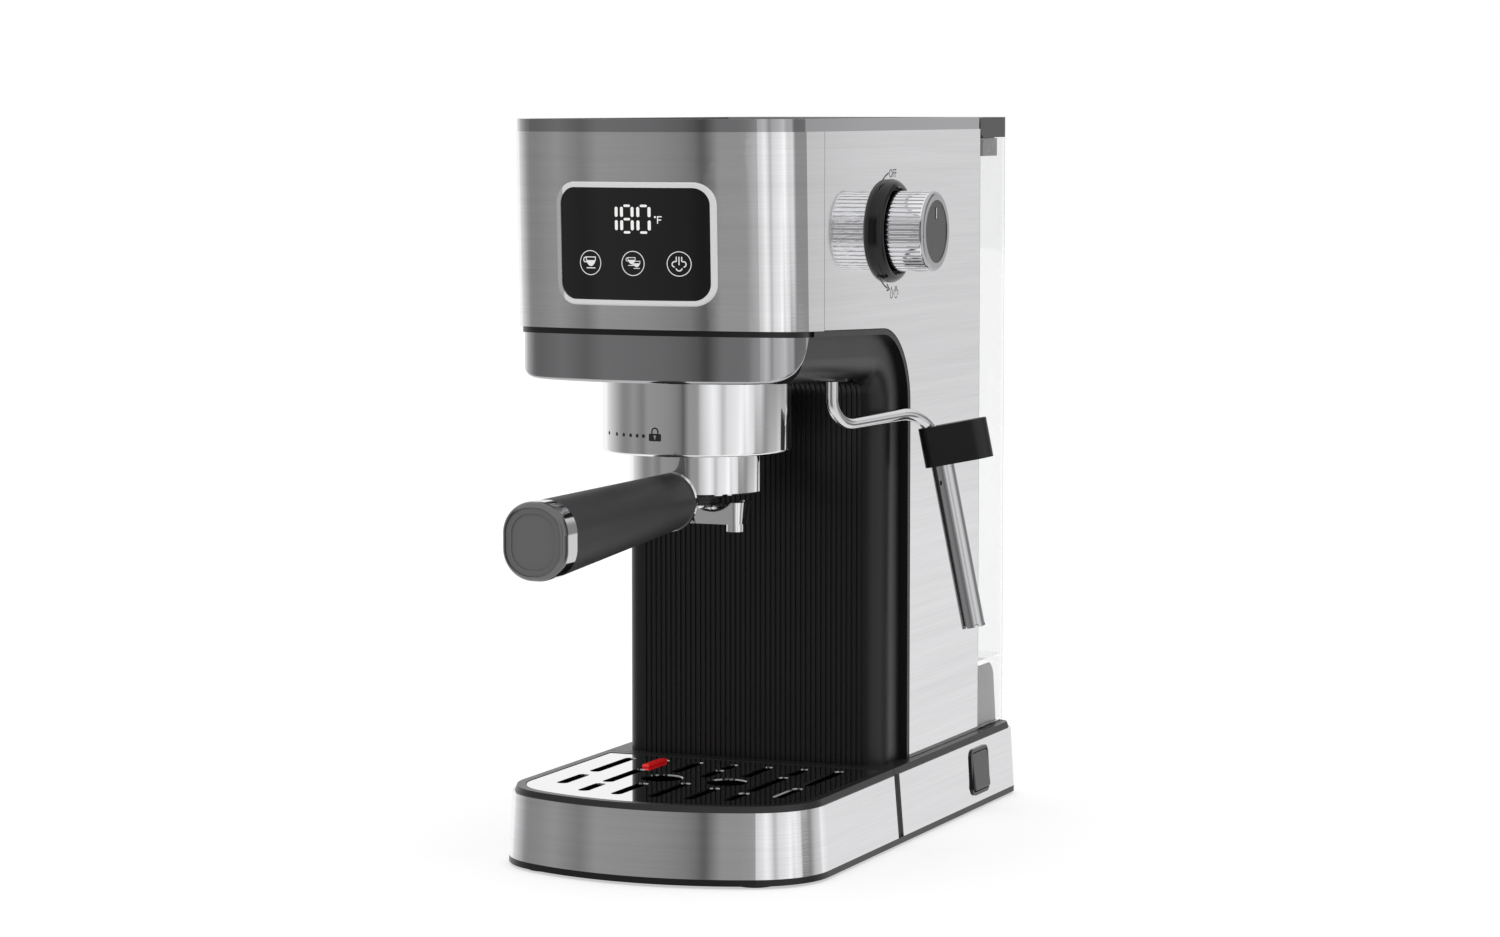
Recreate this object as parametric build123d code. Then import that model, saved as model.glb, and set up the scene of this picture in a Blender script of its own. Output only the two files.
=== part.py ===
"""Slim pump espresso machine: a drip-tray base, a ribbed column, a brewing head with a bayonet group,
a portafilter, a swivelling steam wand and a lift-off water tank. Millimetres, +Z up, the machine faces -Y.
The origin is on the worktop, under the centre of the base's footprint."""

from build123d import *
import math
import os

# ---------------------------------------------------------------- driving dimensions
# Base: a bowed front, a steel band with a little draft and a black rim.
BASE_LENGTH = 284.0
BASE_WIDTH = 141.6
BASE_BOW_RADIUS = 123.0
BASE_CORNER_RADIUS = 33.7
BASE_REAR_RADIUS = 10.0
FOOT_HEIGHT = 1.0
FOOT_RADIUS = 8.0
FLOOR_THICKNESS = 2.7
BAND_HEIGHT = 27.1
BAND_THICKNESS = 1.0
BAND_DRAFT = 3.3
RIM_HEIGHT = 2.4
RIM_INSET = 3.0
RIM_TAPER = 22.0
TRAY_LENGTH = 126.0
TRAY_GAP = 0.4
SPLIT_MARGIN = 2.9
SPLIT_LEAN = 1.9
TRAY_RIM_WIDTH = 4.2
TRAY_FLOOR = 2.4

# Body: steel skins on a moulded housing, with an alcove for the cup.
BODY_WIDTH = 127.2
BODY_REAR_MARGIN = 39.0
TOTAL_HEIGHT = 311.0
TRIM_HEIGHT = 5.2
SKIN_THICKNESS = 0.8
SKIN_GAP = 0.15
HOUSING_WALL = 2.4
HEAD_SETBACK = 5.2
HEAD_BOW_RADIUS = 117.0
HEAD_CORNER_RADIUS = 23.0
HEAD_LEAN = 0.036
HEAD_HEIGHT = 84.8
HEAD_FLOOR_SLOPE = 0.036
SKIN_SEAM_SETBACK = 54.5
ALCOVE_REAR_SETBACK = 155.7
ALCOVE_RADIUS = 34.0
LIP_WIDTH = 2.4
LIP_START_SETBACK = 43.5

# Column: a ribbed front and a plain ceiling over the cup.
COLUMN_SETBACK = 130.0
COLUMN_INSET = 3.2
COLUMN_WALL = 2.5
COLUMN_CORNER_RADIUS = 10.0
CEILING_DROP = 25.2
CEILING_START_SETBACK = 38.0
CEILING_FILLET = 8.0
RIB_MARGIN = 8.6
RIB_PITCH = 2.35
RIB_WIDTH = 1.2
RIB_DEPTH = 0.7

# Brewing group.
GROUP_SETBACK = 70.6
PAN_HEIGHT = 22.0
PAN_INSET = 1.6
PAN_HEEL_SETBACK = 17.7
PAN_HEEL_RADIUS = 26.0
PAN_EDGE_RADIUS = 1.6
PAN_GAP = 0.3
PAN_WALL = 1.2
SHROUD_RADIUS = 39.6
SHROUD_HEIGHT = 31.7
SHROUD_WALL = 1.5
GROUP_RADIUS = 36.0
GROUP_NECK_RADIUS = 27.0
GROUP_SKIRT_HEIGHT = 29.2
LEDGE_HEIGHT = 5.0
LUG_REACH = 3.5
LUG_HEIGHT = 3.7
LUG_ANGLE = 38.0
LUG_CLEARANCE = 0.4
UNLOCK_ANGLE = 45.0
GASKET_HEIGHT = 7.0
GASKET_WIDTH = 5.5
GROUP_CHANNEL_RADIUS = 2.6
BOILER_RAISE = 31.8

# Portafilter: the 51 mm basket class.
PORTAFILTER_RADIUS = 28.3
PORTAFILTER_HEIGHT = 33.5
PORTAFILTER_ENTRY = 14.0
PORTAFILTER_WALL = 2.4
PORTAFILTER_FLOOR = 3.2
SPRING_DROP = 4.0
FERRULE_LENGTH = 1.6
SOCKET_LENGTH = 8.0
SOCKET_ROOT_RADIUS = 5.5
STUD_RADIUS = 3.0
STUD_LENGTH = 26.0
BASKET_RADIUS = 25.4
BASKET_WALL = 0.6
BASKET_DEPTH = 25.0
BASKET_RIM = 1.0
HANDLE_AXIS_DROP = 2.4
HANDLE_NECK_RADIUS = 11.8
HANDLE_LENGTH = 119.0
HANDLE_END_WIDTH = 27.2
HANDLE_END_HEIGHT = 30.6
HANDLE_END_RADIUS = 12.4
HANDLE_END_DROP = 4.0
HANDLE_CAP_LENGTH = 11.8
HANDLE_CAP_WALL = 2.1
HANDLE_CAP_ROUND = 3.8
SPOUT_SPAN = 45.2
SPOUT_WIDTH = 15.0
SPOUT_HEIGHT = 9.2
SPOUT_GAP = 4.1
SPOUT_DRAFT = 5.5
SPOUT_WALL = 1.6
SPOUT_STEM_RADIUS = 7.0
SPOUT_BORE_RADIUS = 4.0
SPOUT_CORNER_RADIUS = 4.0
SPOUT_SAG = 2.9
SPOUT_NUT_OVERLAP = 1.5
SPOUT_NUT_RADIUS = 10.4
SPOUT_THREAD_PITCH = 1.4
NOZZLE_RADIUS = 3.65
NOZZLE_LENGTH = 3.4
NOZZLE_SPACING = 34.4

# Steam wand, in its own vertical plane.
WAND_INSET = 15.6
WAND_SETBACK = 103.0
WAND_HEADING = 26.0
WAND_TUBE_RADIUS = 2.6
WAND_DROP = 19.8
WAND_ENTRY = 13.4
WAND_RISE = 4.5
WAND_REACH = 58.5
WAND_LOW_BEND = 11.2
WAND_HIGH_BEND = 19.0
WAND_TILT = 11.28
WAND_TILT_HEADING = 82.0
SLEEVE_RADIUS = 5.1
SLEEVE_TOP_DROP = 24.5
SLEEVE_LENGTH = 71.2
GRIP_HEIGHT = 17.2
GRIP_THICKNESS = 13.0
GRIP_BACK = 7.5
GRIP_FRONT = 22.6
WAND_BUSH_RADIUS = 6.5

# Steam knob on the right side.
KNOB_SETBACK = 129.3
KNOB_DROP = 47.7
KNOB_RADIUS = 17.05
KNOB_REACH = 21.4
KNOB_START = 2.6
KNOB_FLUTES = 50
KNOB_FLUTE_RADIUS = 0.75
KNOB_FACE_RADIUS = 13.3
BEZEL_RADIUS = 22.0
BEZEL_OPENING = 18.3
BEZEL_HEIGHT = 4.6
SPINDLE_RADIUS = 3.0
STEAM_VALVE_DEPTH = 34.0

# Display.
DISPLAY_DROP = 50.2
DISPLAY_WIDTH = 66.0
DISPLAY_HEIGHT = 45.4
DISPLAY_RADIUS = 7.0
DISPLAY_BORDER = 2.2
DISPLAY_PROUD = 1.2
DISPLAY_EDGE = 0.45
GLASS_THICKNESS = 2.0

# Power switch in the right rear of the base.
SWITCH_REAR_SETBACK = 54.8
SWITCH_Z = 17.6
SWITCH_LENGTH = 23.0
SWITCH_HEIGHT = 21.0
SWITCH_BORDER = 1.5
SWITCH_PROUD = 0.8
ROCKER_TILT = 4.0
ROCKER_DEPTH = 1.6
ROCKER_PROUD = 1.3
ROCKER_PIN_RADIUS = 1.0

# Water tank.
TANK_OVERHANG = 1.6
TANK_FRONT_GAP = 0.8
TANK_WALL = 2.2
TANK_CORNER_RADIUS = 7.0
LID_THICKNESS = 9.1
LID_GAP = 0.3
TANK_DECK_GAP = 0.7
DOCK_HEIGHT = 28.6
DOCK_SLOPE = 4.5
DOCK_ROUND = 9.0
LID_PLUG_DEPTH = 8.4
LID_PIN_RADIUS = 1.5
LID_ROUND = 4.5
VALVE_RADIUS = 7.0
VALVE_BORE = 4.6
TANK_FLOOR_GAP = 0.2
EAR_WIDTH = 3.0
EAR_INSET = 9.0
DOCK_DEPTH = 31.0
DOCK_SOCKET_DEPTH = 14.0
DOCK_SOCKET_RADIUS = 9.2
PLUNGER_REACH = 7.0
PLUNGER_LIFT = 3.0
PLUNGER_HEAD = 2.0
SPRING_RADIUS = 4.2
SPRING_WIRE = 0.8
SPRING_TURNS = 3
FILTER_RADIUS = 9.5
FILTER_WALL = 1.5
FILTER_HEIGHT = 18.2

# Drip grid.
GRID_THICKNESS = 1.2
GRID_RECESS = 0.2
GRID_SLOT_WIDTH = 4.0
GRID_COLUMN_PITCH = 16.3
GRID_HOLE_RADIUS = 8.6
GRID_HOLE_SETBACK = 67.2
GRID_EDGE = 0.5

# Fasteners, cable bush and small works.
SCREW_RADIUS = 1.6
SCREW_HEAD_RADIUS = 3.2
SCREW_BOSS_RADIUS = 4.5
CORD_BUSH_RADIUS = 5.5
CORD_BORE_RADIUS = 3.5
CORD_X = -38.0
CORD_Z = 17.0
PUMP_RAISE = 58.8
PUMP_SETBACK = 56.0
PUMP_RADIUS = 11.0
MOUNT_RADIUS = 18.0
BOILER_HEIGHT = 34.0
BOARD_HEIGHT = 80.0
HOSE_RADIUS = 4.0
HOSE_BORE = 2.4
HOSE_RUN_Z = 20.0

# Float.
FLOAT_SETBACK = 99.5
FLOAT_STEM = 1.6
FLOAT_FLAG_HALF = 1.5
FLOAT_FLAG_LENGTH = 20.0
FLOAT_FLAG_PROUD = 1.1
FLOAT_PAD_WIDTH = 6.0

# General clearances.
FIT = 0.05
RUNNING_GAP = 0.3

# ---------------------------------------------------------------- derived stations
FRONT = -BASE_LENGTH / 2
REAR = BASE_LENGTH / 2
FLOOR_Z = FOOT_HEIGHT
BAND_Z = FLOOR_Z + FLOOR_THICKNESS
RIM_Z = BAND_Z + BAND_HEIGHT
DECK_Z = RIM_Z + RIM_HEIGHT
RIM_SLOPE = RIM_HEIGHT / 2 * math.tan(math.radians(RIM_TAPER))
SKIN_TOP_Z = TOTAL_HEIGHT - TRIM_HEIGHT
HEAD_FLOOR_FRONT_Z = TOTAL_HEIGHT - HEAD_HEIGHT
CEILING_Z = HEAD_FLOOR_FRONT_Z - CEILING_DROP
PAN_BOTTOM_Z = HEAD_FLOOR_FRONT_Z - PAN_HEIGHT
SHROUD_BOTTOM_Z = PAN_BOTTOM_Z - SHROUD_HEIGHT
GROUP_SKIRT_BOTTOM_Z = PAN_BOTTOM_Z - GROUP_SKIRT_HEIGHT
BOILER_Z = PAN_BOTTOM_Z + BOILER_RAISE
PORTAFILTER_RIM_Z = GROUP_SKIRT_BOTTOM_Z + PORTAFILTER_ENTRY
PORTAFILTER_BOTTOM_Z = PORTAFILTER_RIM_Z - PORTAFILTER_HEIGHT
HANDLE_AXIS_Z = PORTAFILTER_BOTTOM_Z - HANDLE_AXIS_DROP
SPOUT_TOP_Z = PORTAFILTER_BOTTOM_Z - SPOUT_GAP
SPOUT_BOTTOM_Z = SPOUT_TOP_Z - SPOUT_HEIGHT
SPOUT_NUT_Z = SPOUT_TOP_Z - SPOUT_NUT_OVERLAP
WAND_LOW_Z = CEILING_Z - WAND_DROP
WAND_TOP_Z = CEILING_Z + WAND_ENTRY
KNOB_Z = TOTAL_HEIGHT - KNOB_DROP
DISPLAY_Z = TOTAL_HEIGHT - DISPLAY_DROP
LID_BOTTOM_Z = TOTAL_HEIGHT - LID_THICKNESS
TANK_TOP_Z = LID_BOTTOM_Z - LID_GAP
TANK_SKIRT_Z = DECK_Z + TANK_DECK_GAP
DOCK_TOP_Z = DECK_Z + DOCK_HEIGHT
FILTER_TOP_Z = DOCK_TOP_Z + FILTER_HEIGHT
PUMP_Z = DECK_Z + PUMP_RAISE
BODY_HALF = BODY_WIDTH / 2
BODY_REAR = REAR - BODY_REAR_MARGIN
SEAM_Y = FRONT + SKIN_SEAM_SETBACK
ALCOVE_REAR = FRONT + ALCOVE_REAR_SETBACK
COLUMN_Y = FRONT + COLUMN_SETBACK
GROUP_Y = FRONT + GROUP_SETBACK
TRAY_REAR = FRONT + TRAY_LENGTH
BASE_FRONT_REAR_PART = TRAY_REAR + TRAY_GAP
HEAD_FRONT = FRONT + HEAD_SETBACK
WAND_X = BODY_HALF - WAND_INSET
WAND_Y = FRONT + WAND_SETBACK
KNOB_Y = FRONT + KNOB_SETBACK
PUMP_Y = COLUMN_Y + PUMP_SETBACK
SWITCH_Y = REAR - SWITCH_REAR_SETBACK
GRID_TOP_Z = DECK_Z - GRID_RECESS
FLOAT_X = -2 * GRID_COLUMN_PITCH
FLOAT_Y = FRONT + FLOAT_SETBACK
COLUMN_HALF = BODY_HALF - COLUMN_INSET
HOUSING_INSET = SKIN_THICKNESS + SKIN_GAP
HOUSING_HALF = BODY_HALF - HOUSING_INSET
INNER_HALF = HOUSING_HALF - HOUSING_WALL
GASKET_Z = PORTAFILTER_RIM_Z + BASKET_RIM
GROUP_FACE_Z = GASKET_Z + GASKET_HEIGHT
NECK_Y = GROUP_Y - PORTAFILTER_RADIUS - 1.8
FERRULE_Y = NECK_Y + FERRULE_LENGTH
HANDLE_END_Y = NECK_Y - HANDLE_LENGTH
GASKET_OUTER = PORTAFILTER_RADIUS + 2.2
GASKET_INNER = GASKET_OUTER - GASKET_WIDTH
TANK_FRONT = BODY_REAR + TANK_FRONT_GAP
TANK_REAR = REAR + TANK_OVERHANG
TANK_HALF = BODY_HALF - 0.2
DOCK_Y = TANK_FRONT + 13.2
LID_PIN_Y = BODY_REAR + 0.7 + LID_ROUND
LID_PIN_Z = TOTAL_HEIGHT - LID_ROUND
LID_EAR_X = TANK_HALF - EAR_INSET


# ---------------------------------------------------------------- general helpers
def block(x0, x1, y0, y1, z0, z1):
    """A box between two corners."""
    centre = Pos((x0 + x1) / 2, (y0 + y1) / 2, (z0 + z1) / 2)
    return centre * Box(abs(x1 - x0), abs(y1 - y0), abs(z1 - z0))


def disc(x, y, z0, z1, radius):
    """An upright cylinder between two heights."""
    return Pos(x, y, (z0 + z1) / 2) * Cylinder(radius, z1 - z0)


def ring(x, y, z0, z1, outer, inner):
    """An upright tube between two heights."""
    return disc(x, y, z0, z1, outer) - disc(x, y, z0 - 1, z1 + 1, inner)


def plug_x(y, z, x0, x1, radius):
    """A cylinder along X between two stations."""
    return Pos((x0 + x1) / 2, y, z) * Rot(0, 90, 0) * Cylinder(radius, abs(x1 - x0))


def nearest_vertex(shape, x, y):
    """The vertex of a flat sketch nearest to a point."""
    return shape.vertices().sort_by(lambda v: (v.X - x) ** 2 + (v.Y - y) ** 2)[0]


def plan_face(half, front, bow, corner, rear, rear_radius):
    """A plan outline: a bowed front, tangent corner arcs, straight sides and rounded rear corners."""
    centre_x = half - corner
    drop = math.sqrt((bow - corner) ** 2 - centre_x ** 2)
    centre_y = front + bow - drop
    start = math.atan2(-drop, centre_x)
    join = (centre_x + corner * math.cos(start), centre_y + corner * math.sin(start))
    middle = (centre_x + corner * math.cos(start / 2), centre_y + corner * math.sin(start / 2))
    turn = rear_radius * (1 - math.sqrt(0.5))
    right = [
        ThreePointArc(join, middle, (half, centre_y)),
        Line((half, centre_y), (half, rear - rear_radius)),
        ThreePointArc((half, rear - rear_radius), (half - turn, rear - turn), (half - rear_radius, rear)),
    ]
    left = [mirror(edge, Plane.YZ) for edge in right]
    bow_arc = ThreePointArc((-join[0], join[1]), (0, front), join)
    back_line = Line((half - rear_radius, rear), (rear_radius - half, rear))
    return make_face(Curve() + [bow_arc, back_line] + right + left)


def base_face(inset=0.0):
    """The base's plan outline, moved inwards by inset."""
    return plan_face(
        BASE_WIDTH / 2 - inset,
        FRONT + inset,
        BASE_BOW_RADIUS - inset,
        BASE_CORNER_RADIUS - inset,
        REAR - inset,
        max(BASE_REAR_RADIUS - inset, 1.0),
    )


def base_slab(inset, z0, z1):
    """A straight slab of the base's outline."""
    return extrude(Pos(0, 0, z0) * base_face(inset), z1 - z0)


def rim_slab():
    """The raised rim of the base, with a sloping outer side."""
    return extrude(Pos(0, 0, RIM_Z) * base_face(RIM_INSET - RIM_SLOPE), RIM_HEIGHT, taper=RIM_TAPER)


def drafted_slab(inset):
    """The base's outline over the height of the steel band, with the band's draft."""
    return extrude(Pos(0, 0, BAND_Z) * base_face(inset), BAND_HEIGHT, taper=BAND_DRAFT)


def head_front(z):
    """Front of the leaning head at a height."""
    return HEAD_FRONT - HEAD_LEAN * (z - HEAD_FLOOR_FRONT_Z)


def head_block(inset, z0, z1):
    """The head's outline extruded along its leaning front and squared off at the body's rear."""
    outline = plan_face(
        BODY_HALF - inset,
        head_front(z0) + inset,
        HEAD_BOW_RADIUS - inset,
        HEAD_CORNER_RADIUS - inset,
        BODY_REAR + TOTAL_HEIGHT * HEAD_LEAN + 20,
        1.0,
    )
    lean = Vector(0, -HEAD_LEAN, 1)
    solid = extrude(Pos(0, 0, z0) * outline, (z1 - z0) * lean.length, dir=lean.normalized())
    return solid & block(-BODY_WIDTH, BODY_WIDTH, FRONT - 50, BODY_REAR, z0, z1)


def floor_line(y):
    """Height of the head's sloping lower edge."""
    return HEAD_FLOOR_FRONT_Z - HEAD_FLOOR_SLOPE * (y - HEAD_FRONT)


def alcove_face(grow=0.0):
    """Side view of the alcove under the head, bounded by the sloping edge, an arc and the column's rear."""
    near = FRONT - 60
    corner_y = ALCOVE_REAR + grow
    lift = grow * math.sqrt(1 + HEAD_FLOOR_SLOPE ** 2)
    bottom = DECK_Z - 20
    points = [
        (near, bottom),
        (corner_y, bottom),
        (corner_y, floor_line(corner_y) + lift),
        (near, floor_line(near) + lift),
    ]
    face = make_face(Polyline(*points, close=True))
    return fillet(nearest_vertex(face, *points[2]), ALCOVE_RADIUS + grow)


def across(face, x0, x1):
    """Extrudes a side-view sketch, drawn as (y, z), between two X stations."""
    return Pos(x0, 0, 0) * extrude(Plane.YZ * face, x1 - x0)


def polygon(points):
    """A closed polygon."""
    return make_face(Polyline(*points, close=True))


def above_floor(drop=0.0):
    """Everything above the head's sloping lower edge, moved down by drop."""
    near = FRONT - BASE_LENGTH
    far = REAR + BASE_LENGTH
    top = TOTAL_HEIGHT * 2
    points = [(near, floor_line(near) - drop), (far, floor_line(far) - drop), (far, top), (near, top)]
    return across(polygon(points), -BODY_WIDTH, BODY_WIDTH)


# ---------------------------------------------------------------- base
def foot_places():
    """Centres of the four feet."""
    x = BASE_WIDTH / 2 - 24
    return [(side * x, y) for side in (-1, 1) for y in (FRONT + 21, REAR - 26)]


def base_floor():
    """Black floor that runs under the tray and the rear housing."""
    plate = base_slab(0, FLOOR_Z, BAND_Z)
    for x, y in foot_places():
        plate -= disc(x, y, FLOOR_Z - 1, FLOOR_Z + 1.5, FOOT_RADIUS + FIT)
    for x, y in base_screw_places():
        plate -= disc(x, y, FLOOR_Z - 1, BAND_Z + 1, SCREW_RADIUS + 0.1)
        plate -= disc(x, y, FLOOR_Z - 1, FLOOR_Z + 1.5, SCREW_HEAD_RADIUS + 0.2)
    return plate


def feet():
    """Four rubber feet, seated in the floor."""
    return Compound(children=[disc(x, y, 0, FLOOR_Z + 1.5, FOOT_RADIUS) for x, y in foot_places()])


def base_screw_places():
    """Centres of the screws that hold the floor to the rear housing."""
    x = BASE_WIDTH / 2 - 12
    return [(side * x, y) for side in (-1, 1) for y in (BASE_FRONT_REAR_PART + 14, REAR - 30)]


def base_screws():
    """Four screws driven up through the floor."""
    screws = []
    for x, y in base_screw_places():
        shank = disc(x, y, FLOOR_Z + 1.2, BAND_Z + 12, SCREW_RADIUS)
        head = disc(x, y, FLOOR_Z + 0.2, FLOOR_Z + 1.4, SCREW_HEAD_RADIUS)
        screws.append(shank + head)
    return Compound(children=screws)


def rear_part(y0):
    """Everything behind a station."""
    return block(-BASE_WIDTH, BASE_WIDTH, y0, REAR + 60, -10, DECK_Z + 40)


def front_part(y1):
    """Everything in front of a station."""
    return block(-BASE_WIDTH, BASE_WIDTH, FRONT - 60, y1, -10, DECK_Z + 40)


def split_line(ahead):
    """Side-view region in front of or behind the leaning edge of a steel band."""
    low = BAND_Z - 1
    high = RIM_Z + 1
    far = FRONT - 60 if ahead else REAR + 60
    edge = TRAY_REAR - SPLIT_MARGIN if ahead else BASE_FRONT_REAR_PART + SPLIT_MARGIN
    points = [(far, low), (edge + SPLIT_LEAN / 2, low), (edge - SPLIT_LEAN / 2, high), (far, high)]
    return across(polygon(points), -BASE_WIDTH, BASE_WIDTH)


def switch_place():
    """Plane of the power switch on the drafted side."""
    lean_in = (SWITCH_Z - BAND_Z) * math.tan(math.radians(BAND_DRAFT))
    return Pos(BASE_WIDTH / 2 - lean_in, SWITCH_Y, SWITCH_Z) * Rot(0, 90 - BAND_DRAFT, 0)


def switch_block(length, height, radius, depth, proud):
    """A rounded block square to the base's side, from depth below the steel to proud of it."""
    outline = Pos(0, 0, -depth) * RectangleRounded(height, length, radius)
    return switch_place() * extrude(outline, depth + proud)


def rear_band():
    """Steel band round the rear of the base, open for the switch."""
    band = (drafted_slab(0) - drafted_slab(BAND_THICKNESS)) & split_line(False)
    band -= switch_block(SWITCH_LENGTH - 1, SWITCH_HEIGHT - 1, 3.0, 8, 8)
    band -= cord_bore(CORD_BUSH_RADIUS + 0.1)
    return band


def rear_housing():
    """Black rear moulding: a drafted wall behind the steel, a deck and a raised rim."""
    outer = drafted_slab(BAND_THICKNESS + FIT) + rim_slab()
    hollow = base_slab(RIM_INSET + HOUSING_WALL + 1.2, BAND_Z - 1, RIM_Z)
    shell = outer & rear_part(BASE_FRONT_REAR_PART)
    shell -= hollow & rear_part(BASE_FRONT_REAR_PART + HOUSING_WALL)
    for x, y in base_screw_places():
        shell += disc(x, y, BAND_Z, RIM_Z + 0.5, SCREW_BOSS_RADIUS)
        shell -= disc(x, y, BAND_Z - 1, BAND_Z + 13, SCREW_RADIUS + FIT)
    shell -= block(-40, 40, COLUMN_Y + 14, BODY_REAR - 12, RIM_Z - 1, DECK_Z + 1)
    shell -= switch_block(SWITCH_LENGTH - 1, SWITCH_HEIGHT - 1, 3.0, 20, 8)
    shell -= cord_bore(CORD_BUSH_RADIUS + 0.1)
    shell -= disc(0, DOCK_Y, RIM_Z - 1, DECK_Z + 1, HOSE_RADIUS + 0.1)
    return shell


def switch_frame():
    """Rounded bezel of the power switch with its recessed well."""
    frame = switch_block(SWITCH_LENGTH, SWITCH_HEIGHT, 4.0, 0, SWITCH_PROUD)
    frame += switch_block(SWITCH_LENGTH - 1.4, SWITCH_HEIGHT - 1.4, 2.8, 17, 0)
    well = switch_block(SWITCH_LENGTH - 2 * SWITCH_BORDER, SWITCH_HEIGHT - 2 * SWITCH_BORDER, 1.6, 15, 2)
    pin_length = SWITCH_LENGTH - 2 * SWITCH_BORDER + 2.4
    return frame - well - rocker_place() * Rot(90, 0, 0) * Cylinder(ROCKER_PIN_RADIUS + FIT, pin_length)


def rocker_place():
    """Axis of the rocker: local Y runs along the machine."""
    return switch_place() * Pos(0, 0, -ROCKER_DEPTH)


def switch_rocker():
    """Flat rocker plate, drawn tilted to its off side, on a pin along Y."""
    length = SWITCH_LENGTH - 2 * SWITCH_BORDER - 2 * RUNNING_GAP
    width = SWITCH_HEIGHT - 2 * SWITCH_BORDER - 2 * RUNNING_GAP - 0.6
    top = ROCKER_DEPTH + ROCKER_PROUD
    plate = Pos(0, 0, -1) * extrude(RectangleRounded(width, length, 1.4), top + 1)
    plate = chamfer(plate.edges().group_by(Axis.Z)[-1], 0.3)
    plate += Rot(90, 0, 0) * Cylinder(2.2, length)
    plate += Rot(90, 0, 0) * Cylinder(ROCKER_PIN_RADIUS, length + 2.4)
    return rocker_place() * Rot(0, -ROCKER_TILT, 0) * plate


def cord_bore(radius):
    """Round passage through the rear of the base."""
    return Pos(CORD_X, REAR - 4, CORD_Z) * Rot(90, 0, 0) * Cylinder(radius, 24)


def cord_inlet():
    """Rubber bush for the mains lead, with a flange behind the steel."""
    bush = Pos(CORD_X, REAR - 4, CORD_Z) * Rot(90, 0, 0) * Cylinder(CORD_BUSH_RADIUS, 10.5)
    flange = Pos(CORD_X, REAR - 10.4, CORD_Z) * Rot(90, 0, 0) * Cylinder(CORD_BUSH_RADIUS + 2, 2.4)
    bore = Pos(CORD_X, REAR - 4, CORD_Z) * Rot(90, 0, 0) * Cylinder(CORD_BORE_RADIUS, 40)
    return bush + flange - bore


# ---------------------------------------------------------------- drip tray
def grid_outline(shrink, z0, z1):
    """Outline of the grid's seat."""
    inset = TRAY_RIM_WIDTH + shrink
    return base_slab(RIM_INSET + inset, z0, z1) & front_part(TRAY_REAR - inset)


def drip_tray():
    """Black tub with a raised rim and a rebate for the grid."""
    outer = drafted_slab(BAND_THICKNESS + FIT) + rim_slab()
    tub = (outer & front_part(TRAY_REAR)) - grid_outline(0, GRID_TOP_Z - GRID_THICKNESS, DECK_Z + 5)
    tub -= grid_outline(3.4, BAND_Z + TRAY_FLOOR, DECK_Z)
    low = BAND_Z + TRAY_FLOOR - 0.5
    return tub + ring(FLOAT_X, FLOAT_Y, low, BAND_Z + 12, FLOAT_STEM + 1.9, FLOAT_STEM + RUNNING_GAP)


def tray_band():
    """Steel band round the front of the tray."""
    return (drafted_slab(0) - drafted_slab(BAND_THICKNESS)) & split_line(True)


# Slots of the grid: column number and the setbacks of both ends.
GRID_SLOTS = [
    (0, 22, 59),
    (0, 76, 95.5),
    (0, 98, 111.5),
    (-1, 22, 52),
    (1, 22, 52),
    (-1, 83, 111.5),
    (1, 83, 111.5),
    (-2, 25, 45),
    (2, 25, 45),
    (-2, 49.5, 85),
    (2, 49.5, 88.5),
    (-2, 88, 112),
    (2, 94, 112),
    (-3, 39, 64),
    (3, 39, 64),
    (-3, 72, 112),
    (3, 72, 112),
]


def grid_cutter(column, start, end):
    """One round-ended slot."""
    length = end - start
    slot = Pos(column * GRID_COLUMN_PITCH, FRONT + (start + end) / 2, GRID_TOP_Z - 6) * Rot(0, 0, 90)
    return slot * extrude(SlotOverall(length, GRID_SLOT_WIDTH), 12)


def drip_grid():
    """Polished steel grid with slots and two drain holes over the tray, their edges eased."""
    plate = grid_outline(RUNNING_GAP, GRID_TOP_Z - GRID_THICKNESS, GRID_TOP_Z)
    cutters = [grid_cutter(*slot) for slot in GRID_SLOTS]
    for side in (-1, 1):
        x = side * (GRID_COLUMN_PITCH - 1.4)
        cutters.append(disc(x, FRONT + GRID_HOLE_SETBACK, GRID_TOP_Z - 6, DECK_Z, GRID_HOLE_RADIUS))
    plate -= cutters
    top = plate.faces().sort_by(Axis.Z)[-1]
    rims = [edge for wire in top.inner_wires() for edge in wire.edges()]
    return chamfer(rims, GRID_EDGE)


def tray_float():
    """Red full-tray float: a pad on a stem, with a flag that shows through a slot."""
    tray_floor = BAND_Z + TRAY_FLOOR
    half = FLOAT_PAD_WIDTH / 2
    reach = FLOAT_FLAG_LENGTH / 2
    pad = block(FLOAT_X - half, FLOAT_X + half, FLOAT_Y - reach, FLOAT_Y + reach, tray_floor + 10.6, tray_floor + 14.6)
    stem = disc(FLOAT_X, FLOAT_Y, tray_floor + 0.6, tray_floor + 11, FLOAT_STEM)
    flag = block(
        FLOAT_X - FLOAT_FLAG_HALF,
        FLOAT_X + FLOAT_FLAG_HALF,
        FLOAT_Y - reach,
        FLOAT_Y + reach,
        tray_floor + 14,
        DECK_Z + FLOAT_FLAG_PROUD,
    )
    ends = flag.edges().filter_by(Axis.X).group_by(Axis.Z)[-1]
    return pad + stem + fillet(ends, FLOAT_FLAG_PROUD)


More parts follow.
